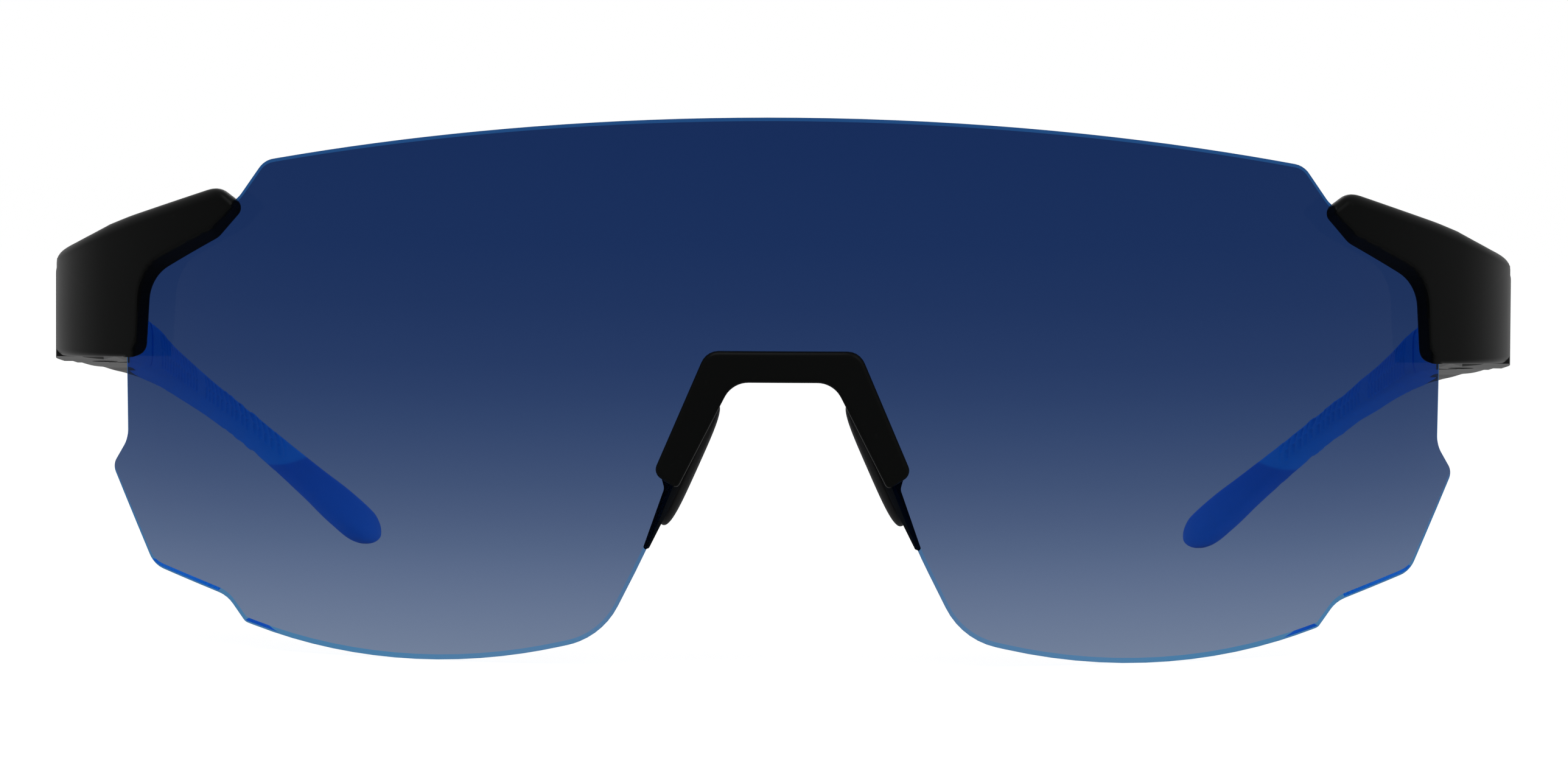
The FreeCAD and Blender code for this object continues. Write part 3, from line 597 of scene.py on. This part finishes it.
# %% The ribs of the grip
RIB_ZONES = ((79.0, 104.0), (107.5, 137.0))    # depths of the two ribbed stretches
RIB_PITCH = 1.9
RIB_DEPTH = 0.42
RIB_SLANT = 0.35                               # depth gained per millimetre of height
RIB_ROWS = (0.07, 0.74)                        # inner and outer end, as shares of half the height
ROW_FADES = (0.06, 0.12)                       # at the inner and the outer end
RIB_FADE = 0.8                                 # over this depth at the ends of a stretch


def rib_depths(depth, height_share, middle_height, height):
    """How far the inner face sinks: a softened wave of slanted grooves, faded out at the zone ends.

    The wave is (1 + cos(2 pi (depth + slant * height) / pitch)) / 2, squared to make the grooves
    narrower than the ribs, in two rows above and below a smooth middle line.
    """
    wave = (1 + np.cos(2 * np.pi * (depth + RIB_SLANT * (height - middle_height)) / RIB_PITCH)) / 2
    away = np.abs(height_share)
    rows = (np.clip((RIB_ROWS[1] - away) / ROW_FADES[1], 0, 1)
            * np.clip((away - RIB_ROWS[0]) / ROW_FADES[0], 0, 1))
    zones = sum(np.clip((depth - low) / RIB_FADE, 0, 1) * np.clip((high - depth) / RIB_FADE, 0, 1)
                for low, high in RIB_ZONES)
    return RIB_DEPTH * wave ** 2 * rows * zones


print("grooves along a grip:", sum(round((high - low) / RIB_PITCH) for low, high in RIB_ZONES))

# %% Shell and grip
SEAM_GAP = 0.02                # between shell and grip
COLLAR_STEP = 0.12             # how far the collar lies below the grip's inner face
INNER_FACE = (0.86, 0.1)       # shares of half the width: where it begins, and its soft start


def arm_shell():
    """The form pressed against the seam from outside: across is never less than the seam.

    Points below the lowest one outside the seam rise to its height, so nothing hangs over the edge.
    The first ring, which closes the shell in front, isn't pressed.
    """
    depths = np.concatenate([[ARM_START], np.linspace(COLLAR_START, GRIP_START - 0.01, 24),
                             np.linspace(GRIP_START, SHELL_END, 120)])
    across, depth, height, inner, outer, _, tall = temple_rings(depths)
    seam = seam_at(depths, inner, outer, tall)
    seam[0] = 0
    outside = across > seam
    lowest = np.where(outside, height, np.inf).min(axis=1, keepdims=True)
    lowest_tall = np.where(outside, tall, np.inf).min(axis=1, keepdims=True)
    height = np.where(outside, height, np.maximum(height, lowest))
    tall = np.where(outside, tall, np.maximum(tall, lowest_tall))
    seam[1:] = seam_at(depths, inner, outer, tall)[1:]
    return tube(placed(np.maximum(across, seam + SEAM_GAP), depth, height))


def grip_shell():
    """The form pressed against the seam from inside, ribbed, and all of it past the shell."""
    depths = np.concatenate([
        np.linspace(COLLAR_START, GRIP_START - 0.01, 30), np.linspace(GRIP_START, 78.9, 12),
        np.linspace(79.0, 137.5, 420),                       # close steps for the ribs
        np.linspace(137.8, SHELL_END, 30),
        np.linspace(SHELL_END + 0.01, TIP_END - NOSE_LENGTH, 40),
        TIP_END - NOSE_LENGTH + NOSE_LENGTH * np.sin(np.linspace(0, np.pi / 2, 20)[1:]),
    ])
    across, depth, height, inner, outer, wide, tall = temple_rings(depths)
    middle = (height.max(axis=1, keepdims=True) + height.min(axis=1, keepdims=True)) / 2
    facing_in = np.clip((-wide - INNER_FACE[0]) / INNER_FACE[1], 0, 1)
    across = across + rib_depths(depth, tall, middle, height) * facing_in
    across = across + np.where(depths < GRIP_START, COLLAR_STEP, 0)[:, None] * facing_in
    past_shell = depths[:, None] > SHELL_END
    seam = np.where(past_shell, np.inf, seam_at(depths, inner, outer, tall))
    return tube(placed(np.minimum(across, seam - SEAM_GAP), depth, height))


print("points of shell and grip:", len(arm_shell()[0]), len(grip_shell()[0]))

# %% [markdown]
# ## The hinge end of a temple
# In front, the temple carries the tongue of the hinge. Seen from above it has two outlines: level
# with the tongue a round knuckle, and above and below it a hollow that clears the ears of the hinge
# block. Stacking the outlines from bottom to top, two of them at each change, gives the stepped
# form.

# %% The hinge end
TONGUE = (27.55, 30.45)        # bottom and top
EAR_RADIUS = 2.3
EAR_CLEARANCE = 0.15
END_BEVEL = 0.8
BOTTOM, TOP = 3, 4             # columns of the stations


def hinge_end_shell():
    """Rings stacked upwards. The round part is centre + radius (cos a, sin a), swept over the front
    for the knuckle and over the back for the hollow, with the same number of points for both.
    """
    inner, outer = STATIONS[0, 1:3]
    front, rear = HINGE[1] + EAR_CLEARANCE, ARM_START + 0.6
    hollow = EAR_RADIUS + EAR_CLEARANCE
    back = HINGE[1] + math.hypot(hollow, HINGE[0] - inner) + EAR_CLEARANCE
    over_back = np.linspace(math.asin(EAR_CLEARANCE / hollow), math.pi / 2, 24)
    over_front = np.linspace(0, -math.pi, 24)

    def outline(radius, sweep, inner_side):
        """The rear and outer sides, the round part, then the points of the inner side."""
        arc = np.stack([np.cos(sweep), np.sin(sweep)], axis=-1) * radius + HINGE
        return np.concatenate([[(inner, rear), (outer, rear), (outer, front)], arc, inner_side])

    recess = outline(hollow, over_back, [(HINGE[0], back), (inner, back)])
    knuckle = outline(EAR_RADIUS, over_front, [(HINGE[0] - EAR_RADIUS, back), (inner, back)])
    inset = np.minimum(recess, (outer - END_BEVEL, np.inf))
    slope = (STATIONS[1] - STATIONS[0]) / (STATIONS[1, 0] - STATIONS[0, 0])

    def sloping(plan, face, raised):
        """The outline on the temple's sloping bottom or top, raised by a height."""
        height = STATIONS[0, face] + slope[face] * (plan[:, 1] - STATIONS[0, 0])
        return placed(plan[:, 0], plan[:, 1], height + raised)

    def level(plan, height):
        """The outline at one height."""
        return placed(plan[:, 0], plan[:, 1], np.full(len(plan), height))

    rings = [sloping(inset, BOTTOM, 0.0), sloping(recess, BOTTOM, END_BEVEL),
             level(recess, TONGUE[0]), level(knuckle, TONGUE[0]),
             level(knuckle, TONGUE[1]), level(recess, TONGUE[1]),
             sloping(recess, TOP, -END_BEVEL), sloping(inset, TOP, 0.0)]
    return tube(np.array(rings))


temples = []
for word, side in SIDES.items():
    temples.append(add_piece(f"temple_shell_{word}", [arm_shell(), hinge_end_shell()], side,
                             f"{word}_temple", [f"temple_arm_{word}"]))
    temples.append(add_piece(f"temple_soft_grip_{word}", [grip_shell()], side,
                             f"{word}_temple", [f"temple_grip_{word}"]))
print("temple faces:", [len(piece.data.polygons) for piece in temples])

# %% [markdown]
# ## Shader helpers
# Every finish is a Principled BSDF with plain values on its own sockets. What several of them share
# is the moulded skin: a fine grain in the height, a slow waviness in the roughness, a little dust.
# That is one node group, built once, and each material gives it its own size and strength.

# %% Node helpers
def feed(tree, value, socket):
    """Gives a socket its value: a wire from another socket, a colour, or a number."""
    if isinstance(value, bpy.types.NodeSocket):
        tree.links.new(value, socket)
    elif isinstance(value, tuple):
        socket.default_value = (*value, 1)
    else:
        socket.default_value = value


def new_material(name, colour, roughness, specular, metallic=0.0):
    """A material with one Principled BSDF, its plain values on the shader's own sockets."""
    material = bpy.data.materials.new(name)
    material.use_nodes = True
    shader = material.node_tree.nodes["Principled BSDF"]
    shader.inputs["Base Color"].default_value = (*colour, 1)
    shader.inputs["Roughness"].default_value = roughness
    shader.inputs["Specular IOR Level"].default_value = specular
    shader.inputs["Metallic"].default_value = metallic
    material.diffuse_color = (*colour, 1)
    return material, material.node_tree, shader


def math_node(tree, operation, *values):
    """A math node; each value is a number or a socket."""
    node = tree.nodes.new("ShaderNodeMath")
    node.operation = operation
    for socket, value in zip(node.inputs, values):
        feed(tree, value, socket)
    return node.outputs[0]


def noise(tree, place, scale, detail):
    """Noise between 0 and 1 in object space; the scale is a number or a socket."""
    node = tree.nodes.new("ShaderNodeTexNoise")
    node.inputs["Detail"].default_value = detail
    feed(tree, place, node.inputs["Vector"])
    feed(tree, scale, node.inputs["Scale"])
    return node.outputs["Fac"]


def mixed(tree, share, first, second):
    """A colour between two, each a colour or a socket."""
    node = tree.nodes.new("ShaderNodeMix")
    node.data_type = "RGBA"
    feed(tree, share, node.inputs["Factor"])
    feed(tree, first, node.inputs[6])
    feed(tree, second, node.inputs[7])
    return node.outputs[2]


def share_between(tree, value, low, high):
    """How far a value has come from low to high, kept between 0 and 1."""
    node = tree.nodes.new("ShaderNodeMapRange")
    node.inputs["From Min"].default_value = low
    node.inputs["From Max"].default_value = high
    feed(tree, value, node.inputs["Value"])
    return node.outputs["Result"]


def own_place(tree):
    """The coordinates of a point in the piece's own space, by the names X, Y and Z."""
    node = tree.nodes.new("ShaderNodeSeparateXYZ")
    feed(tree, tree.nodes.new("ShaderNodeTexCoord").outputs["Object"], node.inputs["Vector"])
    return node.outputs


print("nodes of Blender", bpy.app.version_string)

# %% The moulded skin
SLOW_SCALE, SPECK_SCALE, HAZE_SCALE = 140.0, 1500.0, 60.0      # per metre
SPECK_THRESHOLD = 0.68
SPECK_GAIN, HAZE_GAIN = 6.0, 0.35


def moulded_skin():
    """Height, roughness and dust of a moulded surface, all in object space.

    Height is fine noise. Roughness is its own value plus a share of slow noise about its middle.
    Dust is sparse specks, where a second fine noise passes a threshold, on a thin slow haze.
    """
    group = bpy.data.node_groups.new("moulded_skin", "ShaderNodeTree")
    for way, labels in (("INPUT", ("Grain", "Roughness", "Variation", "Dust")),
                        ("OUTPUT", ("Height", "Roughness", "Dust"))):
        for label in labels:
            group.interface.new_socket(label, in_out=way, socket_type="NodeSocketFloat")
    entry = group.nodes.new("NodeGroupInput")
    leaving = group.nodes.new("NodeGroupOutput")
    place = group.nodes.new("ShaderNodeTexCoord").outputs["Object"]
    slow = math_node(group, "SUBTRACT", noise(group, place, SLOW_SCALE, 2.0), 0.5)
    rough = math_node(group, "MULTIPLY_ADD", slow,
                      entry.outputs["Variation"], entry.outputs["Roughness"])
    specks = math_node(group, "SUBTRACT", noise(group, place, SPECK_SCALE, 1.0), SPECK_THRESHOLD)
    specks = math_node(group, "MULTIPLY", math_node(group, "MAXIMUM", specks, 0.0), SPECK_GAIN)
    haze = math_node(group, "MULTIPLY", noise(group, place, HAZE_SCALE, 3.0), HAZE_GAIN)
    dust = math_node(group, "ADD", specks, haze)
    dust = math_node(group, "MULTIPLY", dust, entry.outputs["Dust"])
    feed(group, noise(group, place, entry.outputs["Grain"], 3.0), leaving.inputs["Height"])
    feed(group, rough, leaving.inputs["Roughness"])
    feed(group, dust, leaving.inputs["Dust"])
    return group


skin = moulded_skin()
print("node group:", skin.name)

# %% Moulded plastic and rubber
DUST_COLOUR = (0.16, 0.155, 0.145)
VARIATION = 0.06               # of the roughness, from least to most


def wear_skin(tree, shader, colour, grain, depth, roughness, variation, dust):
    """Places the moulded skin in a material: dust over its colour, and its roughness and grain."""
    node = tree.nodes.new("ShaderNodeGroup")
    node.node_tree = skin
    settings = {"Grain": grain, "Roughness": roughness, "Variation": variation, "Dust": dust}
    for label, value in settings.items():
        node.inputs[label].default_value = value
    bump = tree.nodes.new("ShaderNodeBump")
    bump.inputs["Distance"].default_value = depth
    feed(tree, mixed(tree, node.outputs["Dust"], colour, DUST_COLOUR), shader.inputs["Base Color"])
    feed(tree, node.outputs["Roughness"], shader.inputs["Roughness"])
    feed(tree, node.outputs["Height"], bump.inputs["Height"])
    feed(tree, bump.outputs["Normal"], shader.inputs["Normal"])


def moulded(name, colour, roughness, specular, grain, depth, dust=0.02, metallic=0.0):
    """A moulded finish: colour under a little dust, grain per metre and its depth in metres."""
    material, tree, shader = new_material(name, colour, roughness, specular, metallic)
    wear_skin(tree, shader, colour, grain, depth, roughness, VARIATION, dust)
    return material


print("dust colour:", DUST_COLOUR)

# %% [markdown]
# ## The lens
# The lens is one sheet of polycarbonate, dyed darkest at the brow and palest at the cheek. Dye
# takes light away from what is behind, so it is the colour of a clear, transmissive surface and
# depends on height alone. The cut edge gets a brighter colour of its own, a painted glow that
# stands in for light running along inside the sheet.

# %% Lens finish
# height above the foot of the lens in millimetres, and the dye's colour there
DYE = [
    (0.0, (0.380, 0.490, 0.720)),
    (4.3, (0.307, 0.409, 0.648)),
    (8.5, (0.233, 0.327, 0.565)),
    (10.7, (0.193, 0.283, 0.512)),
    (13.5, (0.153, 0.232, 0.454)),
    (16.3, (0.119, 0.193, 0.407)),
    (19.1, (0.094, 0.161, 0.370)),
    (21.8, (0.073, 0.136, 0.339)),
    (24.6, (0.057, 0.113, 0.308)),
    (27.4, (0.045, 0.096, 0.284)),
    (32.9, (0.032, 0.077, 0.254)),
    (38.5, (0.024, 0.066, 0.239)),
    (47.4, (0.020, 0.059, 0.228)),
    (50.0, (0.020, 0.058, 0.226)),
]
# painted glow: a brighter blue for the cut edge, standing in for light carried inside the sheet
EDGE_PAINTED_GLOW = (0.06, 0.42, 1.0)
LENS_IOR = 1.12
LENS_TINT = (0.25, 0.5, 1.0)
FACE_FROM, FACE_FULL = 0.7, 0.95       # how far the normal lies in line with the wrap on a face


def lens_material():
    """Dye by height as the colour of what shines through, painted glow where the normal turns away.

    On the two faces of the sheet the normal lies in line with the direction from the lens's axis;
    on the cut edge it is square to it, and on the bevel between them it is half way.
    """
    material, tree, shader = new_material("dyed_lens", (0.05, 0.1, 0.28), 0.0, 0.5)
    shader.inputs["Transmission Weight"].default_value = 1.0
    shader.inputs["IOR"].default_value = LENS_IOR
    shader.inputs["Specular Tint"].default_value = (*LENS_TINT, 1)
    place = own_place(tree)
    top = lens_high[2]
    height = share_between(tree, place["Z"], top - LENS_HEIGHT * MM, top)
    ramp = tree.nodes.new("ShaderNodeValToRGB")
    stops = ramp.color_ramp.elements
    while len(stops) < len(DYE):
        stops.new(0.5)
    for stop, (at, colour) in zip(stops, DYE):
        stop.position = at / LENS_HEIGHT
        stop.color = (*colour, 1)
    feed(tree, height, ramp.inputs["Fac"])
    from_axis = tree.nodes.new("ShaderNodeCombineXYZ")
    feed(tree, place["X"], from_axis.inputs["X"])
    axis_y = lens_low[1] + LENS_RADIUS * MM
    feed(tree, math_node(tree, "SUBTRACT", place["Y"], axis_y), from_axis.inputs["Y"])
    straight = tree.nodes.new("ShaderNodeVectorMath")
    straight.operation = "NORMALIZE"
    feed(tree, from_axis.outputs[0], straight.inputs[0])
    along = tree.nodes.new("ShaderNodeVectorMath")
    along.operation = "DOT_PRODUCT"
    feed(tree, straight.outputs["Vector"], along.inputs[0])
    feed(tree, tree.nodes.new("ShaderNodeNewGeometry").outputs["True Normal"], along.inputs[1])
    in_line = math_node(tree, "ABSOLUTE", along.outputs["Value"])
    on_face = share_between(tree, in_line, FACE_FROM, FACE_FULL)
    # the cut edge takes the painted glow, the faces take the dye by height
    feed(tree, mixed(tree, on_face, EDGE_PAINTED_GLOW, ramp.outputs["Color"]), shader.inputs["Base Color"])
    return material


lens_finish = lens_material()
print("dye stops:", len(DYE))

# %% [markdown]
# ## Plastics, rubber and metal
# The endpieces, bridge and temples are black nylon, the covers smoother than the hinge blocks. Pads
# and gaskets are elastomer, with almost no highlight. The grips are blue rubber, with painted shade
# that makes them darker below a rising line, round the tip. Near-black plastics get their look from
# roughness and specular level alone.

# %% Blue rubber
GRIP_COLOUR = (0.006, 0.245, 0.67)
# painted shade: a darker blue that stands in for shadow over the rear of the grip and its tip
TIP_PAINTED_SHADE = (0.002, 0.135, 0.53)
PAINTED_SHADE_EDGE = (11.1, 136.5, 0.108)     # height of the painted shade's upper border at a depth, and its slope
PAINTED_SHADE_BLEND = (-0.0001, 0.0002)       # metres below the border, from the grip's colour to the painted shade's


def grip_material():
    """Blue rubber with painted shade: darker below a gently rising line over depth, round the tip.
    """
    material, tree, shader = new_material("blue_grip_rubber", GRIP_COLOUR, 0.55, 0.22)
    wear_skin(tree, shader, GRIP_COLOUR, grain=3000.0, depth=5e-6, roughness=0.55,
              variation=0.08, dust=0.015)
    place = own_place(tree)
    height, depth, slope = PAINTED_SHADE_EDGE
    level = (lens_high[2] / MM - LENS_HEIGHT + height - slope * (depth + lens_low[1] / MM)) * MM
    line = math_node(tree, "MULTIPLY_ADD", place["Y"], slope, level)
    share = share_between(tree, math_node(tree, "SUBTRACT", line, place["Z"]), *PAINTED_SHADE_BLEND)
    dusted = shader.inputs["Base Color"].links[0].from_socket.node
    # the painted shade is mixed into the blue, under the dust
    feed(tree, mixed(tree, share, GRIP_COLOUR, TIP_PAINTED_SHADE), dusted.inputs[6])
    return material


blue_rubber = grip_material()
print("shader nodes in the blue rubber:", len(blue_rubber.node_tree.nodes))

# %% The other finishes
# name, colour, roughness, specular level, grain, depth of the grain
FINISHES = {
    "lens": lens_finish,
    "gloss_black": moulded("gloss_black_nylon", (0.0022, 0.0024, 0.0023), 0.30, 0.028,
                           5200.0, 1.5e-6, dust=0.008),
    "satin_black": moulded("satin_black_nylon", (0.0035, 0.0035, 0.0036), 0.38, 0.12,
                           3800.0, 4e-6, dust=0.015),
    "soft_rubber": moulded("soft_rubber", (0.007, 0.007, 0.0073), 0.62, 0.2, 3000.0, 6e-6),
    "blue_rubber": blue_rubber,
    "steel": moulded("screw_steel", (0.55, 0.55, 0.56), 0.28, 0.5, 2500.0, 2e-6, metallic=1.0),
    "brass": moulded("insert_brass", (0.70, 0.53, 0.26), 0.3, 0.5, 2500.0, 2e-6, metallic=1.0),
}
for subpart in frame["record"]["subparts"]:
    node = frame["nodes"][subpart["node"]]
    for material_slot in node.material_slots:
        material_slot.material = FINISHES[subpart["material_slot"]]
new_pieces = {"gloss_black": covers + [bridge], "soft_rubber": pads + gaskets,
              "satin_black": temples[0::2], "blue_rubber": temples[1::2]}
for finish, pieces in new_pieces.items():
    for piece in pieces:
        piece.data.materials.append(FINISHES[finish])
print("finished CAD nodes:", len(frame["nodes"]), "new pieces:", sum(map(len, new_pieces.values())))

# %% [markdown]
# ## Floor, sky and lamps
# The glasses stand in a white room. White is what the camera sees; glass and gloss see the same
# room a little dimmer, so that the dye keeps its depth and black stays black. The light that falls
# on the pieces is a separate, softer sky with two wide lamps, and the floor keeps a light shadow.

# %% What each kind of ray sees
GLASS_LEVEL = 0.45
GLOSS_LEVEL = 0.55


def seen_levels(tree):
    """The room's brightness by kind of ray, 1 for each kind that sees it, and 1 for the camera."""
    path = tree.nodes.new("ShaderNodeLightPath")
    camera, gloss, glass = (path.outputs[f"Is {kind} Ray"]
                            for kind in ("Camera", "Glossy", "Transmission"))
    dimmed = math_node(tree, "MULTIPLY", math_node(tree, "SUBTRACT", 1.0, glass),
                       math_node(tree, "MULTIPLY", gloss, GLOSS_LEVEL))
    dimmed = math_node(tree, "MULTIPLY_ADD", glass, GLASS_LEVEL, dimmed)
    level = math_node(tree, "MAXIMUM", camera, dimmed)
    direct = math_node(tree, "MAXIMUM", camera, math_node(tree, "MAXIMUM", gloss, glass))
    return level, direct, camera


print("room as gloss and glass see it:", GLOSS_LEVEL, GLASS_LEVEL)

# %% Floor
FLOOR_HALF = 40.0              # metres
FLOOR_GAP = 0.00005            # metres below the glasses
SHADOW_SHARE = 0.1             # of the floor that takes light and shadow, for the camera
FLOOR_LIFT = 0.05              # extra brightness for the camera, back to white


def make_floor():
    """A wide flat square under the glasses: white by itself, a tenth left to take the shadow."""
    corners = [(x * FLOOR_HALF, y * FLOOR_HALF, 0) for x, y in ((-1, -1), (1, -1), (1, 1), (-1, 1))]
    mesh = bpy.data.meshes.new("floor")
    mesh.from_pydata(corners, [], [(0, 1, 2, 3)])
    table = bpy.data.objects.new("floor", mesh)
    bpy.context.scene.collection.objects.link(table)
    table.location.z = cad_low[2] - FLOOR_GAP
    material = bpy.data.materials.new("white_table")
    material.use_nodes = True
    tree = material.node_tree
    tree.nodes.clear()
    paper = tree.nodes.new("ShaderNodeBsdfDiffuse")
    paper.inputs["Color"].default_value = (0.9, 0.9, 0.9, 1)
    white = tree.nodes.new("ShaderNodeEmission")
    white.inputs["Color"].default_value = (1, 1, 1, 1)
    mix = tree.nodes.new("ShaderNodeMixShader")
    end = tree.nodes.new("ShaderNodeOutputMaterial")
    level, direct, camera = seen_levels(tree)
    feed(tree, math_node(tree, "MULTIPLY_ADD", camera, FLOOR_LIFT, level), white.inputs["Strength"])
    feed(tree, math_node(tree, "MULTIPLY_ADD", camera, -SHADOW_SHARE, direct), mix.inputs["Fac"])
    feed(tree, paper.outputs[0], mix.inputs[1])
    feed(tree, white.outputs[0], mix.inputs[2])
    feed(tree, mix.outputs[0], end.inputs["Surface"])
    mesh.materials.append(material)


make_floor()
print("floor at", round((cad_low[2] - FLOOR_GAP) / MM, 3), "mm")

# %% Sky
SKY_LEVEL = 0.6


def make_sky():
    """The room's level wherever it is seen directly, and a plain soft light otherwise."""
    world = bpy.data.worlds.new("white_room")
    world.use_nodes = True
    tree = world.node_tree
    tree.nodes.clear()
    room = tree.nodes.new("ShaderNodeBackground")
    room.inputs["Color"].default_value = (1, 1, 1, 1)
    end = tree.nodes.new("ShaderNodeOutputWorld")
    level, direct, _ = seen_levels(tree)
    soft = math_node(tree, "MULTIPLY", math_node(tree, "SUBTRACT", 1.0, direct), SKY_LEVEL)
    feed(tree, math_node(tree, "MAXIMUM", level, soft), room.inputs["Strength"])
    feed(tree, room.outputs[0], end.inputs["Surface"])
    bpy.context.scene.world = world


make_sky()
print("soft sky level:", SKY_LEVEL)

# %% Lamps
def wide_lamp(name, place, aim, size, power):
    """A square area lamp at a place, turned to face a point."""
    data = bpy.data.lights.new(name, "AREA")
    data.size = size
    data.energy = power
    lamp = bpy.data.objects.new(name, data)
    bpy.context.scene.collection.objects.link(lamp)
    lamp.location = place
    lamp.rotation_euler = (Vector(aim) - Vector(place)).to_track_quat("-Z", "Y").to_euler()


middle = tuple((l + h) / 2 for l, h in zip(cad_low, cad_high))
wide_lamp("lamp_over", (-0.25, -0.45, 1.15), middle, size=0.9, power=9.0)
wide_lamp("lamp_side", (0.7, -0.5, 0.7), middle, size=0.7, power=3.0)

# %% [markdown]
# ## Camera
# A product shot from arm's length, a little above the lens and tipped down by about two degrees, so
# that the temple tips show through the foot of the lens.

# %% Camera
CAMERA_BACK = 0.500            # metres in front of the lens apex
CAMERA_HEIGHT = 0.04462        # metres
CAMERA_DIP = 2.237             # degrees below level
CAMERA_ROLL = -0.3             # degrees
FOCAL_LENGTH, SENSOR_WIDTH = 126.7, 36.0     # millimetres
camera_data = bpy.data.cameras.new("camera")
camera_data.lens = FOCAL_LENGTH
camera_data.sensor_width = SENSOR_WIDTH
camera_data.clip_start = 0.01
camera = bpy.data.objects.new("camera", camera_data)
bpy.context.scene.collection.objects.link(camera)
camera.location = (0, lens_low[1] - CAMERA_BACK, CAMERA_HEIGHT)
camera.rotation_euler = (math.radians(90 - CAMERA_DIP), math.radians(CAMERA_ROLL), 0)
bpy.context.scene.camera = camera
bpy.context.scene.view_settings.view_transform = "Standard"
print("camera sees", round(math.degrees(camera_data.angle), 2), "degrees across")
